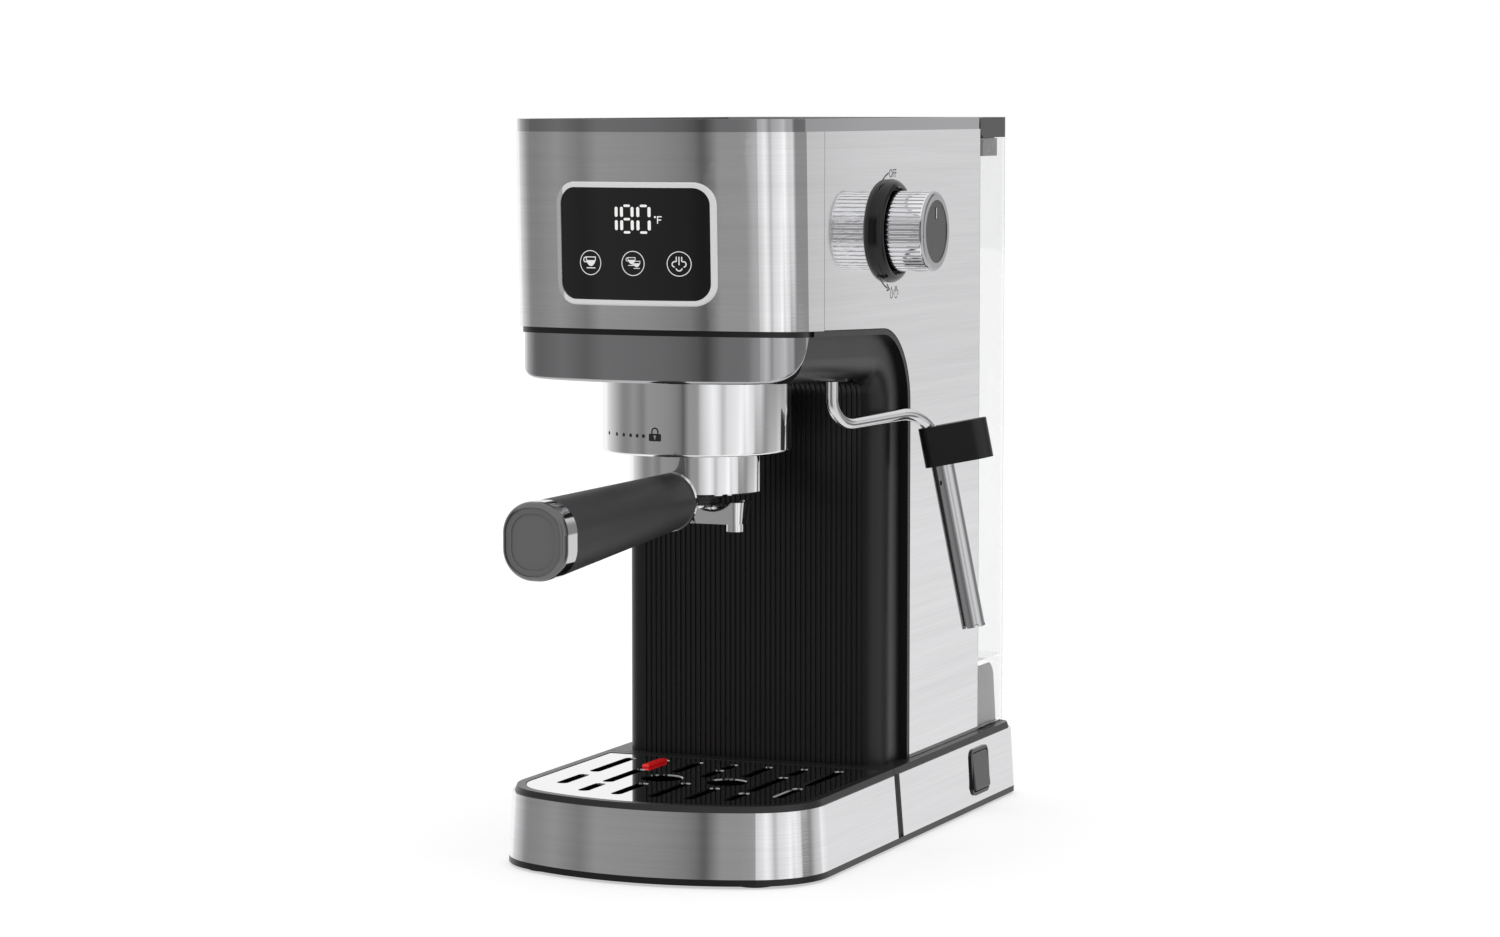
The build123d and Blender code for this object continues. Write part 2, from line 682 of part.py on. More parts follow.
# ---------------------------------------------------------------- body skins and housing
def display_cutter(grow, depth):
    """Rounded window through the head's front."""
    outline = RectangleRounded(DISPLAY_WIDTH + 2 * grow, DISPLAY_HEIGHT + 2 * grow, DISPLAY_RADIUS + grow)
    place = Plane(origin=(0, HEAD_FRONT - 20, DISPLAY_Z), x_dir=(1, 0, 0), z_dir=(0, 1, 0))
    return extrude(place * outline, depth + 20)


def front_skin():
    """Steel sheet wrapped round the bowed front up to the side seams."""
    low = HEAD_FLOOR_FRONT_Z - 10
    sheet = head_block(0, low, SKIN_TOP_Z) - head_block(SKIN_THICKNESS, low - 1, SKIN_TOP_Z + 1)
    sheet &= above_floor()
    sheet &= block(-BODY_WIDTH, BODY_WIDTH, FRONT - 50, SEAM_Y - 0.15, 0, TOTAL_HEIGHT)
    return sheet - display_cutter(FIT, 60)


def side_skin(side):
    """Flat steel side panel, cut round the alcove."""
    points = [
        (SEAM_Y + 0.15, DECK_Z + 0.2),
        (BODY_REAR, DECK_Z + 0.2),
        (BODY_REAR, SKIN_TOP_Z),
        (SEAM_Y + 0.15, SKIN_TOP_Z),
    ]
    face = polygon(points) - alcove_face(RUNNING_GAP)
    sheet = across(face, BODY_HALF - SKIN_THICKNESS, BODY_HALF)
    if side > 0:
        return sheet - plug_x(KNOB_Y, KNOB_Z, BODY_HALF - 5, BODY_HALF + 5, SPINDLE_RADIUS + 3)
    return mirror(sheet, Plane.YZ)


def body_housing():
    """Moulded housing behind the skins: head and column walls, open at the top, rear and alcove."""
    low = DECK_Z
    shell = head_block(HOUSING_INSET, low, SKIN_TOP_Z - 0.2)
    shell -= head_block(HOUSING_INSET + HOUSING_WALL, low - 1, SKIN_TOP_Z + 1)
    shell &= block(-BODY_WIDTH, BODY_WIDTH, FRONT - 50, BODY_REAR - HOUSING_WALL - 0.2, 0, TOTAL_HEIGHT)
    shell -= across(alcove_face(SKIN_GAP), -BODY_WIDTH, BODY_WIDTH)
    shell -= display_cutter(1.5, 60)
    return shell - plug_x(KNOB_Y, KNOB_Z, BODY_HALF - 12, BODY_HALF + 5, SPINDLE_RADIUS + 0.6)


def rear_panel():
    """Black rear cover behind the tank, with vents and the two arms that carry the pump."""
    inside = BODY_REAR - HOUSING_WALL
    panel = block(-HOUSING_HALF, HOUSING_HALF, inside, BODY_REAR, DECK_Z + 0.2, SKIN_TOP_Z - 0.2)
    for row in range(8):
        z = SKIN_TOP_Z - 70 + row * 7
        panel -= block(-28, 28, BODY_REAR - 5, BODY_REAR + 5, z, z + 2.4)
    for z in (PUMP_Z - 29, PUMP_Z + 23):
        arm = block(-26, 26, PUMP_Y - 6, BODY_REAR - 1, z + 1.5, z + 4.5)
        panel += arm - disc(0, PUMP_Y, z, z + 6, MOUNT_RADIUS + FIT)
    return panel


def top_trim():
    """Chrome rim round the top of the body."""
    frame = head_block(0.5, SKIN_TOP_Z, TOTAL_HEIGHT) - head_block(4.5, SKIN_TOP_Z - 1, TOTAL_HEIGHT + 1)
    return frame & block(-BODY_WIDTH, BODY_WIDTH, FRONT - 50, BODY_REAR - 0.2, 0, TOTAL_HEIGHT)


def top_cover():
    """Steel cup shelf, sunk a little inside the rim, with a downward flange."""
    plate = head_block(4.5 + FIT, SKIN_TOP_Z - 0.2, TOTAL_HEIGHT - 1.2)
    inner = head_block(7.0, SKIN_TOP_Z - 1, TOTAL_HEIGHT - 2.4) & block(
        -BODY_WIDTH, BODY_WIDTH, FRONT - 50, BODY_REAR - 3, 0, TOTAL_HEIGHT
    )
    return plate - inner


def head_floor():
    """Black floor of the head, showing as a strip under the steel, with the group's opening."""
    low = HEAD_FLOOR_FRONT_Z - 30
    wide = head_block(1.2, low, HEAD_FLOOR_FRONT_Z + 10)
    wide &= block(-BODY_WIDTH, BODY_WIDTH, FRONT - 50, FRONT + LIP_START_SETBACK - 0.2, 0, TOTAL_HEIGHT)
    half = COLUMN_HALF - COLUMN_WALL - 1.0
    rear = WAND_Y + 17
    narrow = block(-half, half, FRONT + LIP_START_SETBACK - 1, rear, low, HEAD_FLOOR_FRONT_Z)
    plate = ((wide + narrow) & above_floor(LIP_WIDTH)) - above_floor(0.1)
    plate -= disc(0, GROUP_Y, low, TOTAL_HEIGHT, GROUP_NECK_RADIUS + 1.5)
    return plate - disc(WAND_X, WAND_Y, low, TOTAL_HEIGHT, WAND_BUSH_RADIUS + 0.5)


# ---------------------------------------------------------------- column moulding
def ceiling_line(y):
    """Height of the moulding's ceiling, which falls to the rear like the head's lower edge."""
    return CEILING_Z - HEAD_FLOOR_SLOPE * (y - WAND_Y)


def cup_space_face(grow=0.0):
    """Side view of the open space in front of the column and under the ceiling."""
    back = COLUMN_Y + grow
    top = ceiling_line(back) + grow
    near = FRONT - BASE_LENGTH / 2
    face = polygon([(near, DECK_Z - 30), (back, DECK_Z - 30), (back, top), (near, ceiling_line(near) + grow)])
    return fillet(nearest_vertex(face, back, top), CEILING_FILLET + grow)


def pan_profile(grow=0.0):
    """Side view of the pan: a level bottom that rises to the rear in an arc."""
    heel_y = FRONT + PAN_HEEL_SETBACK
    centre_z = PAN_BOTTOM_Z + PAN_HEEL_RADIUS
    radius = PAN_HEEL_RADIUS + grow
    near = FRONT - 60
    turn = radius * math.sqrt(0.5)
    heel = ThreePointArc(
        (heel_y, centre_z - radius),
        (heel_y + turn, centre_z - turn),
        (heel_y + radius, centre_z),
    )
    corners = [(heel_y + radius, centre_z), (near, centre_z), (near, centre_z - radius)]
    rest = Polyline(*corners, (heel_y, centre_z - radius))
    return make_face(Curve() + [heel] + rest.edges())


def round_sides(solid, half, grow, radius):
    """Rounds the edges between the moulding's sides and its front and ceiling."""
    start = FRONT + CEILING_START_SETBACK + grow
    edges = []
    for edge in solid.edges():
        middle = edge.center()
        on_side = abs(abs(middle.X) - half) < 0.01
        inside = start + 0.1 < middle.Y < COLUMN_Y + grow + 0.1
        low = DECK_Z - 1 < middle.Z < ceiling_line(FRONT) + grow
        if on_side and inside and low and middle.Z > DECK_Z - 0.5:
            edges.append(edge)
    return fillet(edges, radius)


def column_solid():
    """Outside of the column moulding, its upright and lower edges rounded."""
    solid = across(alcove_face() - cup_space_face(), -COLUMN_HALF, COLUMN_HALF)
    solid &= block(-COLUMN_HALF, COLUMN_HALF, FRONT + CEILING_START_SETBACK, REAR, DECK_Z, TOTAL_HEIGHT)
    solid = round_sides(solid, COLUMN_HALF, 0, COLUMN_CORNER_RADIUS)
    front = block(-BODY_HALF, BODY_HALF, FRONT, FRONT + LIP_START_SETBACK + 0.1, 0, TOTAL_HEIGHT)
    solid -= above_floor(LIP_WIDTH + 0.1) & front
    return solid - across(pan_profile(PAN_GAP), -BODY_HALF, BODY_HALF)


def column_cover():
    """Ribbed black moulding: column front, ceiling, and the lips that edge the side panels."""
    half = COLUMN_HALF - COLUMN_WALL
    hollow = across(alcove_face(1) - cup_space_face(COLUMN_WALL), -half, half)
    start = FRONT + CEILING_START_SETBACK + COLUMN_WALL
    hollow &= block(-half, half, start, REAR, DECK_Z - 1, TOTAL_HEIGHT)
    hollow = round_sides(hollow, half, COLUMN_WALL, COLUMN_CORNER_RADIUS - COLUMN_WALL)
    hollow -= across(pan_profile(PAN_GAP + COLUMN_WALL), -BODY_HALF, BODY_HALF)
    cover = column_solid() - hollow
    band = alcove_face() - alcove_face(-LIP_WIDTH)
    lips = across(band, half, BODY_HALF - 0.1) + across(band, 0.1 - BODY_HALF, -half)
    lips &= block(-BODY_WIDTH, BODY_WIDTH, FRONT + LIP_START_SETBACK, REAR, DECK_Z, TOTAL_HEIGHT)
    cover += lips
    cover += column_ribs()
    cover -= above_floor(LIP_WIDTH + 0.1) & block(0.9 - half, half - 0.9, FRONT, COLUMN_Y, 0, TOTAL_HEIGHT)
    cover -= disc(0, GROUP_Y, CEILING_Z - 5, TOTAL_HEIGHT, SHROUD_RADIUS + 0.6)
    return cover - disc(WAND_X, WAND_Y, CEILING_Z - 5, TOTAL_HEIGHT, WAND_BUSH_RADIUS + FIT)


def column_ribs():
    """Upright ribs on the column's front that run up into the curve of the ceiling."""
    count = int(2 * (COLUMN_HALF - RIB_MARGIN) / RIB_PITCH)
    first = -(count - 1) / 2 * RIB_PITCH
    zone = Pos(COLUMN_Y, (DECK_Z + CEILING_Z) / 2) * Rectangle(2 * CEILING_FILLET, CEILING_Z - DECK_Z)
    strip = (cup_space_face(0.4) - cup_space_face(-RIB_DEPTH)) & zone
    xs = [first + index * RIB_PITCH for index in range(count)]
    return [across(strip, x - RIB_WIDTH / 2, x + RIB_WIDTH / 2) for x in xs]


# ---------------------------------------------------------------- brewing group
def pan_solid(inset):
    """The pan's outside, or its inside when moved in by inset."""
    outline = plan_face(
        BODY_HALF - PAN_INSET - inset,
        head_front(PAN_BOTTOM_Z) + PAN_INSET + inset,
        HEAD_BOW_RADIUS - PAN_INSET - inset,
        HEAD_CORNER_RADIUS - PAN_INSET - inset,
        FRONT + BASE_LENGTH / 2,
        1.0,
    )
    slab = extrude(Pos(0, 0, PAN_BOTTOM_Z + inset) * outline, PAN_HEIGHT + inset)
    return slab & across(pan_profile(-inset), -BODY_HALF, BODY_HALF)


def brew_pan():
    """Chrome pan under the head: straight sides, an eased lower edge and a heel that rises to the rear."""
    solid = pan_solid(0)
    low = [edge for edge in solid.edges() if edge.center().Z < HEAD_FLOOR_FRONT_Z - 0.5]
    rims = [edge for edge in low if abs(edge.center().X) > 0.1 or edge.center().Y < HEAD_FRONT + 5]
    solid = fillet(rims, PAN_EDGE_RADIUS)
    pan = solid - pan_solid(PAN_WALL) - above_floor(LIP_WIDTH + FIT)
    return pan - disc(0, GROUP_Y, PAN_BOTTOM_Z - 5, TOTAL_HEIGHT, GROUP_RADIUS + 0.6)


def group_shroud():
    """Chrome collar round the bayonet, with a rounded lower edge turned in."""
    top = PAN_BOTTOM_Z - FIT
    collar = disc(0, GROUP_Y, SHROUD_BOTTOM_Z, top, SHROUD_RADIUS)
    collar = fillet(collar.edges().group_by(Axis.Z)[0], 1.2)
    return collar - disc(0, GROUP_Y, SHROUD_BOTTOM_Z - 1, top + 1, SHROUD_RADIUS - SHROUD_WALL)


def lug_sector(radius, z0, z1, centre_angle, spread):
    """A pie slice about the group's axis."""
    first = polar(radius, centre_angle - spread / 2)
    last = polar(radius, centre_angle + spread / 2)
    arc = ThreePointArc(first, polar(radius, centre_angle), last)
    slice_face = make_face(Curve() + [Line((0, 0), first), arc, Line(last, (0, 0))])
    return Pos(0, GROUP_Y, z0) * extrude(slice_face, z1 - z0)


def polar(radius, angle):
    """A point at an angle in degrees from +X."""
    return (radius * math.cos(math.radians(angle)), radius * math.sin(math.radians(angle)))


def group_bore():
    """Turned inside of the group: mouth, lug groove and gasket seat."""
    mouth = PORTAFILTER_RADIUS + 0.6
    groove = PORTAFILTER_RADIUS + LUG_REACH + 0.5
    groove_z = GROUP_SKIRT_BOTTOM_Z + LEDGE_HEIGHT
    points = [
        (0, GROUP_SKIRT_BOTTOM_Z - 1),
        (mouth, GROUP_SKIRT_BOTTOM_Z - 1),
        (mouth, groove_z),
        (groove, groove_z),
        (groove, GASKET_Z),
        (GASKET_OUTER + FIT, GASKET_Z),
        (GASKET_OUTER + FIT, GROUP_FACE_Z),
        (GROUP_CHANNEL_RADIUS, GROUP_FACE_Z),
        (GROUP_CHANNEL_RADIUS, BOILER_Z + 1),
        (0, BOILER_Z + 1),
    ]
    return Pos(0, GROUP_Y, 0) * revolve(Plane.XZ * polygon(points), Axis.Z)


def group_head():
    """Cast group: a neck, a flange and a skirt whose ledges hold the portafilter's lugs."""
    body = disc(0, GROUP_Y, GROUP_SKIRT_BOTTOM_Z, PAN_BOTTOM_Z, GROUP_RADIUS)
    body += disc(0, GROUP_Y, PAN_BOTTOM_Z, BOILER_Z, GROUP_NECK_RADIUS)
    body -= group_bore()
    entry_radius = PORTAFILTER_RADIUS + LUG_REACH + 0.9
    entry_top = GROUP_SKIRT_BOTTOM_Z + LEDGE_HEIGHT + 1
    low = GROUP_SKIRT_BOTTOM_Z - 1
    for side in (0, 180):
        body -= lug_sector(entry_radius, low, entry_top, side - UNLOCK_ANGLE, LUG_ANGLE + 6)
    return body


def group_gasket():
    """Rubber ring that seals on the basket's rim."""
    return ring(0, GROUP_Y, GASKET_Z, GROUP_FACE_Z, GASKET_OUTER, GASKET_INNER)


def shower_screen():
    """Dished screen under the group with the screw that holds it."""
    screen = disc(0, GROUP_Y, GROUP_FACE_Z - 3.2, GROUP_FACE_Z - FIT, GASKET_INNER - 0.4)
    screen -= disc(0, GROUP_Y, GROUP_FACE_Z - 2.2, GROUP_FACE_Z + 1, GASKET_INNER - 1.6)
    for radius, count in ((11.0, 6), (18.5, 12)):
        for index in range(count):
            x, y = polar(radius, 360 * index / count)
            screen -= disc(x, GROUP_Y + y, GROUP_FACE_Z - 6, GROUP_FACE_Z, 1.2)
    head = disc(0, GROUP_Y, GROUP_FACE_Z - 5.2, GROUP_FACE_Z - 3.1, 4.5)
    return screen + head + disc(0, GROUP_Y, GROUP_FACE_Z - 3.3, GROUP_FACE_Z + 10, GROUP_CHANNEL_RADIUS - FIT)


# ---------------------------------------------------------------- portafilter
def handle_ferrule():
    """Thin ring that closes the neck against the grip, with the stud that holds the grip."""
    place = Pos(0, NECK_Y + FERRULE_LENGTH / 2, HANDLE_AXIS_Z) * Rot(90, 0, 0)
    rear = FERRULE_Y + 1.0
    front = NECK_Y - STUD_LENGTH
    stud = Pos(0, (front + rear) / 2, HANDLE_AXIS_Z) * Rot(90, 0, 0) * Cylinder(STUD_RADIUS, rear - front)
    return place * Cylinder(HANDLE_NECK_RADIUS + 0.5, FERRULE_LENGTH) + stud


def handle_socket():
    """Cast neck from the handle's ferrule up into the cup's wall."""
    start = Plane(origin=(0, FERRULE_Y, HANDLE_AXIS_Z), x_dir=(1, 0, 0), z_dir=(0, 1, 0))
    root_z = PORTAFILTER_BOTTOM_Z + SOCKET_ROOT_RADIUS + 2.5
    end = Plane(origin=(0, FERRULE_Y + SOCKET_LENGTH, root_z), x_dir=(1, 0, 0), z_dir=(0, 1, 0))
    return loft([start * Circle(HANDLE_NECK_RADIUS - 0.6), end * Circle(SOCKET_ROOT_RADIUS)])


def portafilter_body():
    """Chrome cup with two bayonet lugs and the socket of the handle."""
    body = disc(0, GROUP_Y, PORTAFILTER_BOTTOM_Z, PORTAFILTER_RIM_Z, PORTAFILTER_RADIUS)
    body = chamfer(body.edges().group_by(Axis.Z)[0], 0.6)
    body += handle_socket() + handle_ferrule()
    lug_z = GROUP_SKIRT_BOTTOM_Z + LEDGE_HEIGHT + LUG_CLEARANCE
    for side in (0, 180):
        body += lug_sector(PORTAFILTER_RADIUS + LUG_REACH, lug_z, lug_z + LUG_HEIGHT, side, LUG_ANGLE)
    cavity = PORTAFILTER_RADIUS - PORTAFILTER_WALL
    body -= disc(0, GROUP_Y, PORTAFILTER_BOTTOM_Z + PORTAFILTER_FLOOR, PORTAFILTER_RIM_Z + 1, cavity)
    spring_z = PORTAFILTER_RIM_Z - SPRING_DROP
    body -= disc(0, GROUP_Y, spring_z - 0.7, spring_z + 0.7, cavity + 0.8)
    return body - disc(0, GROUP_Y, PORTAFILTER_BOTTOM_Z - 1, PORTAFILTER_BOTTOM_Z + 5, SPOUT_BORE_RADIUS)


def filter_basket():
    """Deep-drawn basket with a rolled rim."""
    z0 = PORTAFILTER_RIM_Z - BASKET_DEPTH
    wall = ring(0, GROUP_Y, z0, GASKET_Z, BASKET_RADIUS, BASKET_RADIUS - BASKET_WALL)
    floor = disc(0, GROUP_Y, z0, z0 + BASKET_WALL, BASKET_RADIUS - 0.1)
    rim = ring(0, GROUP_Y, PORTAFILTER_RIM_Z, GASKET_Z, PORTAFILTER_RADIUS - 0.1, BASKET_RADIUS - BASKET_WALL)
    return wall + floor + rim


def basket_spring():
    """Open ring of square wire that grips the basket."""
    z = PORTAFILTER_RIM_Z - SPRING_DROP
    outer = PORTAFILTER_RADIUS - PORTAFILTER_WALL + 0.6
    hoop = ring(0, GROUP_Y, z - 0.4, z + 0.4, outer, outer - 0.9)
    return hoop - lug_sector(PORTAFILTER_RADIUS, PORTAFILTER_RIM_Z - 9, PORTAFILTER_RIM_Z, 90, 20)


def spout_nut():
    """Black threaded nipple between the cup and the spout."""
    nut = ring(0, GROUP_Y, SPOUT_NUT_Z, PORTAFILTER_BOTTOM_Z, SPOUT_NUT_RADIUS, SPOUT_STEM_RADIUS + FIT)
    turns = int((PORTAFILTER_BOTTOM_Z - SPOUT_NUT_Z) / SPOUT_THREAD_PITCH)
    for index in range(turns):
        z = SPOUT_NUT_Z + 0.6 + index * SPOUT_THREAD_PITCH
        nut -= ring(0, GROUP_Y, z, z + SPOUT_THREAD_PITCH / 2, SPOUT_NUT_RADIUS + 1, SPOUT_NUT_RADIUS - 0.6)
    return nut


def spout_block(inset, z0, rise):
    """The double spout's drafted outline, moved in by inset, from a height upwards."""
    shrink = inset + (SPOUT_TOP_Z - z0) * math.tan(math.radians(SPOUT_DRAFT))
    corner = max(SPOUT_CORNER_RADIUS - shrink, 1.0)
    outline = RectangleRounded(SPOUT_SPAN - 2 * shrink, SPOUT_WIDTH - 2 * shrink, corner)
    return Pos(0, GROUP_Y, z0) * extrude(outline, rise, taper=-SPOUT_DRAFT)


def portafilter_spout():
    """Open double spout: a trough with a sagging rim, two nozzles and a screwed stem."""
    bottom = SPOUT_BOTTOM_Z
    trough = spout_block(0, bottom, SPOUT_HEIGHT)
    trough -= spout_block(SPOUT_WALL, bottom + SPOUT_WALL, SPOUT_HEIGHT)
    reach = NOZZLE_SPACING / 2
    sag_radius = (reach ** 2 + SPOUT_SAG ** 2) / (2 * SPOUT_SAG)
    sag_z = SPOUT_TOP_Z - SPOUT_SAG + sag_radius
    trough -= Pos(0, GROUP_Y, sag_z) * Rot(90, 0, 0) * Cylinder(sag_radius, SPOUT_SPAN)
    trough += disc(0, GROUP_Y, bottom, PORTAFILTER_BOTTOM_Z, SPOUT_STEM_RADIUS)
    for side in (-1, 1):
        x = side * NOZZLE_SPACING / 2
        trough += disc(x, GROUP_Y, bottom - NOZZLE_LENGTH, bottom + 1, NOZZLE_RADIUS)
        trough -= disc(x, GROUP_Y, bottom - NOZZLE_LENGTH - 1, bottom + SPOUT_WALL + 1, NOZZLE_RADIUS - 1.2)
    drain_z = bottom + SPOUT_WALL
    trough -= disc(0, GROUP_Y, drain_z, PORTAFILTER_BOTTOM_Z + 1, SPOUT_BORE_RADIUS)
    reach = SPOUT_STEM_RADIUS + 1
    return trough - block(-reach, reach, GROUP_Y - 2, GROUP_Y + 2, drain_z, drain_z + 4)


def handle_section(y, width, height, radius, centre_z):
    """A rounded rectangle square to Y."""
    place = Plane(origin=(0, y, centre_z), x_dir=(1, 0, 0), z_dir=(0, -1, 0))
    return place * RectangleRounded(width, height, radius)


def end_centre_z():
    """Height of the middle of the handle's outer end."""
    return HANDLE_AXIS_Z - HANDLE_END_DROP


def handle_grip():
    """Black grip, round at the neck and a soft square at its end."""
    neck = 2 * HANDLE_NECK_RADIUS
    sections = [
        handle_section(NECK_Y, neck, neck, HANDLE_NECK_RADIUS - 0.05, HANDLE_AXIS_Z),
        handle_section(HANDLE_END_Y, HANDLE_END_WIDTH, HANDLE_END_HEIGHT, HANDLE_END_RADIUS, end_centre_z()),
    ]
    bore = Pos(0, NECK_Y, HANDLE_AXIS_Z) * Rot(90, 0, 0) * Cylinder(STUD_RADIUS + FIT, 2 * STUD_LENGTH + 4)
    return loft(sections) - bore


def cap_section(y, inset):
    """Section of the handle's end cap, moved in by inset."""
    width = HANDLE_END_WIDTH + 0.4 - 2 * inset
    height = HANDLE_END_HEIGHT + 0.4 - 2 * inset
    return handle_section(y, width, height, HANDLE_END_RADIUS + 0.2 - inset, end_centre_z())


def handle_cap():
    """Chrome collar on the handle's end, with a rounded outer edge."""
    collar = extrude(cap_section(HANDLE_END_Y, 0), HANDLE_CAP_LENGTH)
    collar = fillet(collar.faces().sort_by(Axis.Y)[0].edges(), HANDLE_CAP_ROUND)
    return collar - extrude(cap_section(HANDLE_END_Y - 4, HANDLE_CAP_WALL), HANDLE_CAP_LENGTH)


def handle_end_plate():
    """Grey plate let into the handle's end, with a shallow recess."""
    face_y = HANDLE_END_Y - HANDLE_CAP_LENGTH + 0.9
    plate = extrude(cap_section(HANDLE_END_Y - 4, HANDLE_CAP_WALL + FIT), HANDLE_END_Y - 4 - face_y)
    return plate - extrude(cap_section(face_y + 0.5, HANDLE_CAP_WALL + 2.4), 3)


# ---------------------------------------------------------------- steam wand
def wand_point(reach, z):
    """A point of the wand's vertical plane."""
    heading = math.radians(WAND_HEADING)
    return Vector(WAND_X + reach * math.sin(heading), WAND_Y + reach * math.cos(heading), z)


def wand_high_corner():
    """Where the rising run and the sloping run of the tube would meet."""
    rise = math.tan(math.radians(WAND_RISE))
    return WAND_REACH, WAND_LOW_Z + WAND_REACH * rise


def wand_lean():
    """Direction of the sloping run, downwards."""
    heading = math.radians(WAND_TILT_HEADING)
    tilt = math.radians(WAND_TILT)
    side = math.sin(tilt)
    return Vector(side * math.sin(heading), side * math.cos(heading), -math.cos(tilt))


def wand_down(distance):
    """A point on the axis of the sloping run, measured from its upper corner."""
    return wand_point(*wand_high_corner()) + wand_lean() * distance


def wand_axis_plane(distance):
    """A plane square to the sloping run, with local X pointing outwards along its lean."""
    heading = math.radians(WAND_TILT_HEADING)
    level = Vector(math.sin(heading), math.cos(heading), 0)
    down = wand_lean()
    outward = (level - down * level.dot(down)).normalized()
    return Plane(origin=wand_down(distance), x_dir=outward, z_dir=down)


def wand_path(distance):
    """Centre line of the tube, down the sloping run to a distance from its upper corner."""
    points = [wand_point(0, WAND_TOP_Z), wand_point(0, WAND_LOW_Z), wand_point(*wand_high_corner())]
    return FilletPolyline(*points, wand_down(distance), radius=[WAND_LOW_BEND, WAND_HIGH_BEND])


def wand_run(radius, distance):
    """A round rod along the tube's centre line."""
    start = Plane(origin=wand_point(0, WAND_TOP_Z), z_dir=(0, 0, -1))
    return sweep(start * Circle(radius), path=wand_path(distance))


def wand_tube():
    """Chrome tube: down from the ceiling, outwards, and over into the sloping run."""
    collar = disc(WAND_X, WAND_Y, CEILING_Z + 3, CEILING_Z + 9, WAND_TUBE_RADIUS + 1.6)
    return wand_run(WAND_TUBE_RADIUS, SLEEVE_TOP_DROP + SLEEVE_LENGTH - 12) + collar


def wand_grip():
    """Flat black tab moulded on the tube."""
    span = GRIP_FRONT + GRIP_BACK - GRIP_THICKNESS
    outline = Pos((GRIP_FRONT - GRIP_BACK) / 2, 0) * SlotCenterToCenter(span, GRIP_THICKNESS)
    tab = extrude(wand_axis_plane(SLEEVE_TOP_DROP - GRIP_HEIGHT) * outline, GRIP_HEIGHT - FIT)
    return tab - wand_run(WAND_TUBE_RADIUS + FIT, SLEEVE_TOP_DROP + 30)


def froth_sleeve():
    """Steel frothing sleeve that slips over the tube, with an air hole and a notched tip."""
    place = wand_axis_plane(SLEEVE_TOP_DROP)
    tube = extrude(place * Circle(SLEEVE_RADIUS), SLEEVE_LENGTH)
    tube -= extrude(place * Circle(WAND_TUBE_RADIUS + FIT), 30)
    tip = wand_axis_plane(SLEEVE_TOP_DROP + 30)
    tube -= extrude(tip * Circle(SLEEVE_RADIUS - 1.0), SLEEVE_LENGTH)
    notch = wand_axis_plane(SLEEVE_TOP_DROP + SLEEVE_LENGTH - 1.2)
    for turn in (0, 60, 120):
        tube -= extrude(notch * Rot(0, 0, turn) * Rectangle(30, 1.6), 5)
    air = wand_axis_plane(SLEEVE_TOP_DROP + 8) * Rot(0, 0, -90) * Pos(SLEEVE_RADIUS, 0, 0) * Rot(0, 90, 0)
    return tube - air * Cylinder(0.7, 2.0)


def wand_socket():
    """Bush in the ceiling that the wand swivels in."""
    bush = disc(WAND_X, WAND_Y, CEILING_Z - 0.4, CEILING_Z + 16, WAND_BUSH_RADIUS)
    bush -= disc(WAND_X, WAND_Y, CEILING_Z - 5, CEILING_Z + 30, WAND_TUBE_RADIUS + FIT)
    return bush - disc(WAND_X, WAND_Y, CEILING_Z + 3 - 0.2, CEILING_Z + 9.2, WAND_TUBE_RADIUS + 1.6 + FIT)


# ---------------------------------------------------------------- steam knob
def knob_place(reach):
    """Plane square to the knob's axis at a distance from the side panel, facing outwards."""
    return Plane(origin=(BODY_HALF + reach, KNOB_Y, KNOB_Z), x_dir=(0, 1, 0), z_dir=(1, 0, 0))


def knob_bezel():
    """Black ring round the knob, domed in section."""
    width = BEZEL_RADIUS - BEZEL_OPENING
    profile = make_face(
        Curve()
        + [
            Line((BEZEL_OPENING, 0), (BEZEL_RADIUS, 0)),
            Line((BEZEL_RADIUS, 0), (BEZEL_RADIUS, 1.2)),
            ThreePointArc(
                (BEZEL_RADIUS, 1.2),
                (BEZEL_RADIUS - 0.35 * width, BEZEL_HEIGHT - 0.8),
                (BEZEL_OPENING + 0.6, BEZEL_HEIGHT),
            ),
            Line((BEZEL_OPENING + 0.6, BEZEL_HEIGHT), (BEZEL_OPENING, BEZEL_HEIGHT - 0.5)),
            Line((BEZEL_OPENING, BEZEL_HEIGHT - 0.5), (BEZEL_OPENING, 0)),
        ]
    )
    hoop = revolve(Plane.XZ * profile, Axis.Z)
    floor = Pos(0, 0, 0.5) * Cylinder(BEZEL_OPENING + 0.2, 1.0) - Cylinder(SPINDLE_RADIUS + 1.2, 10)
    return knob_place(0).location * (hoop + floor)


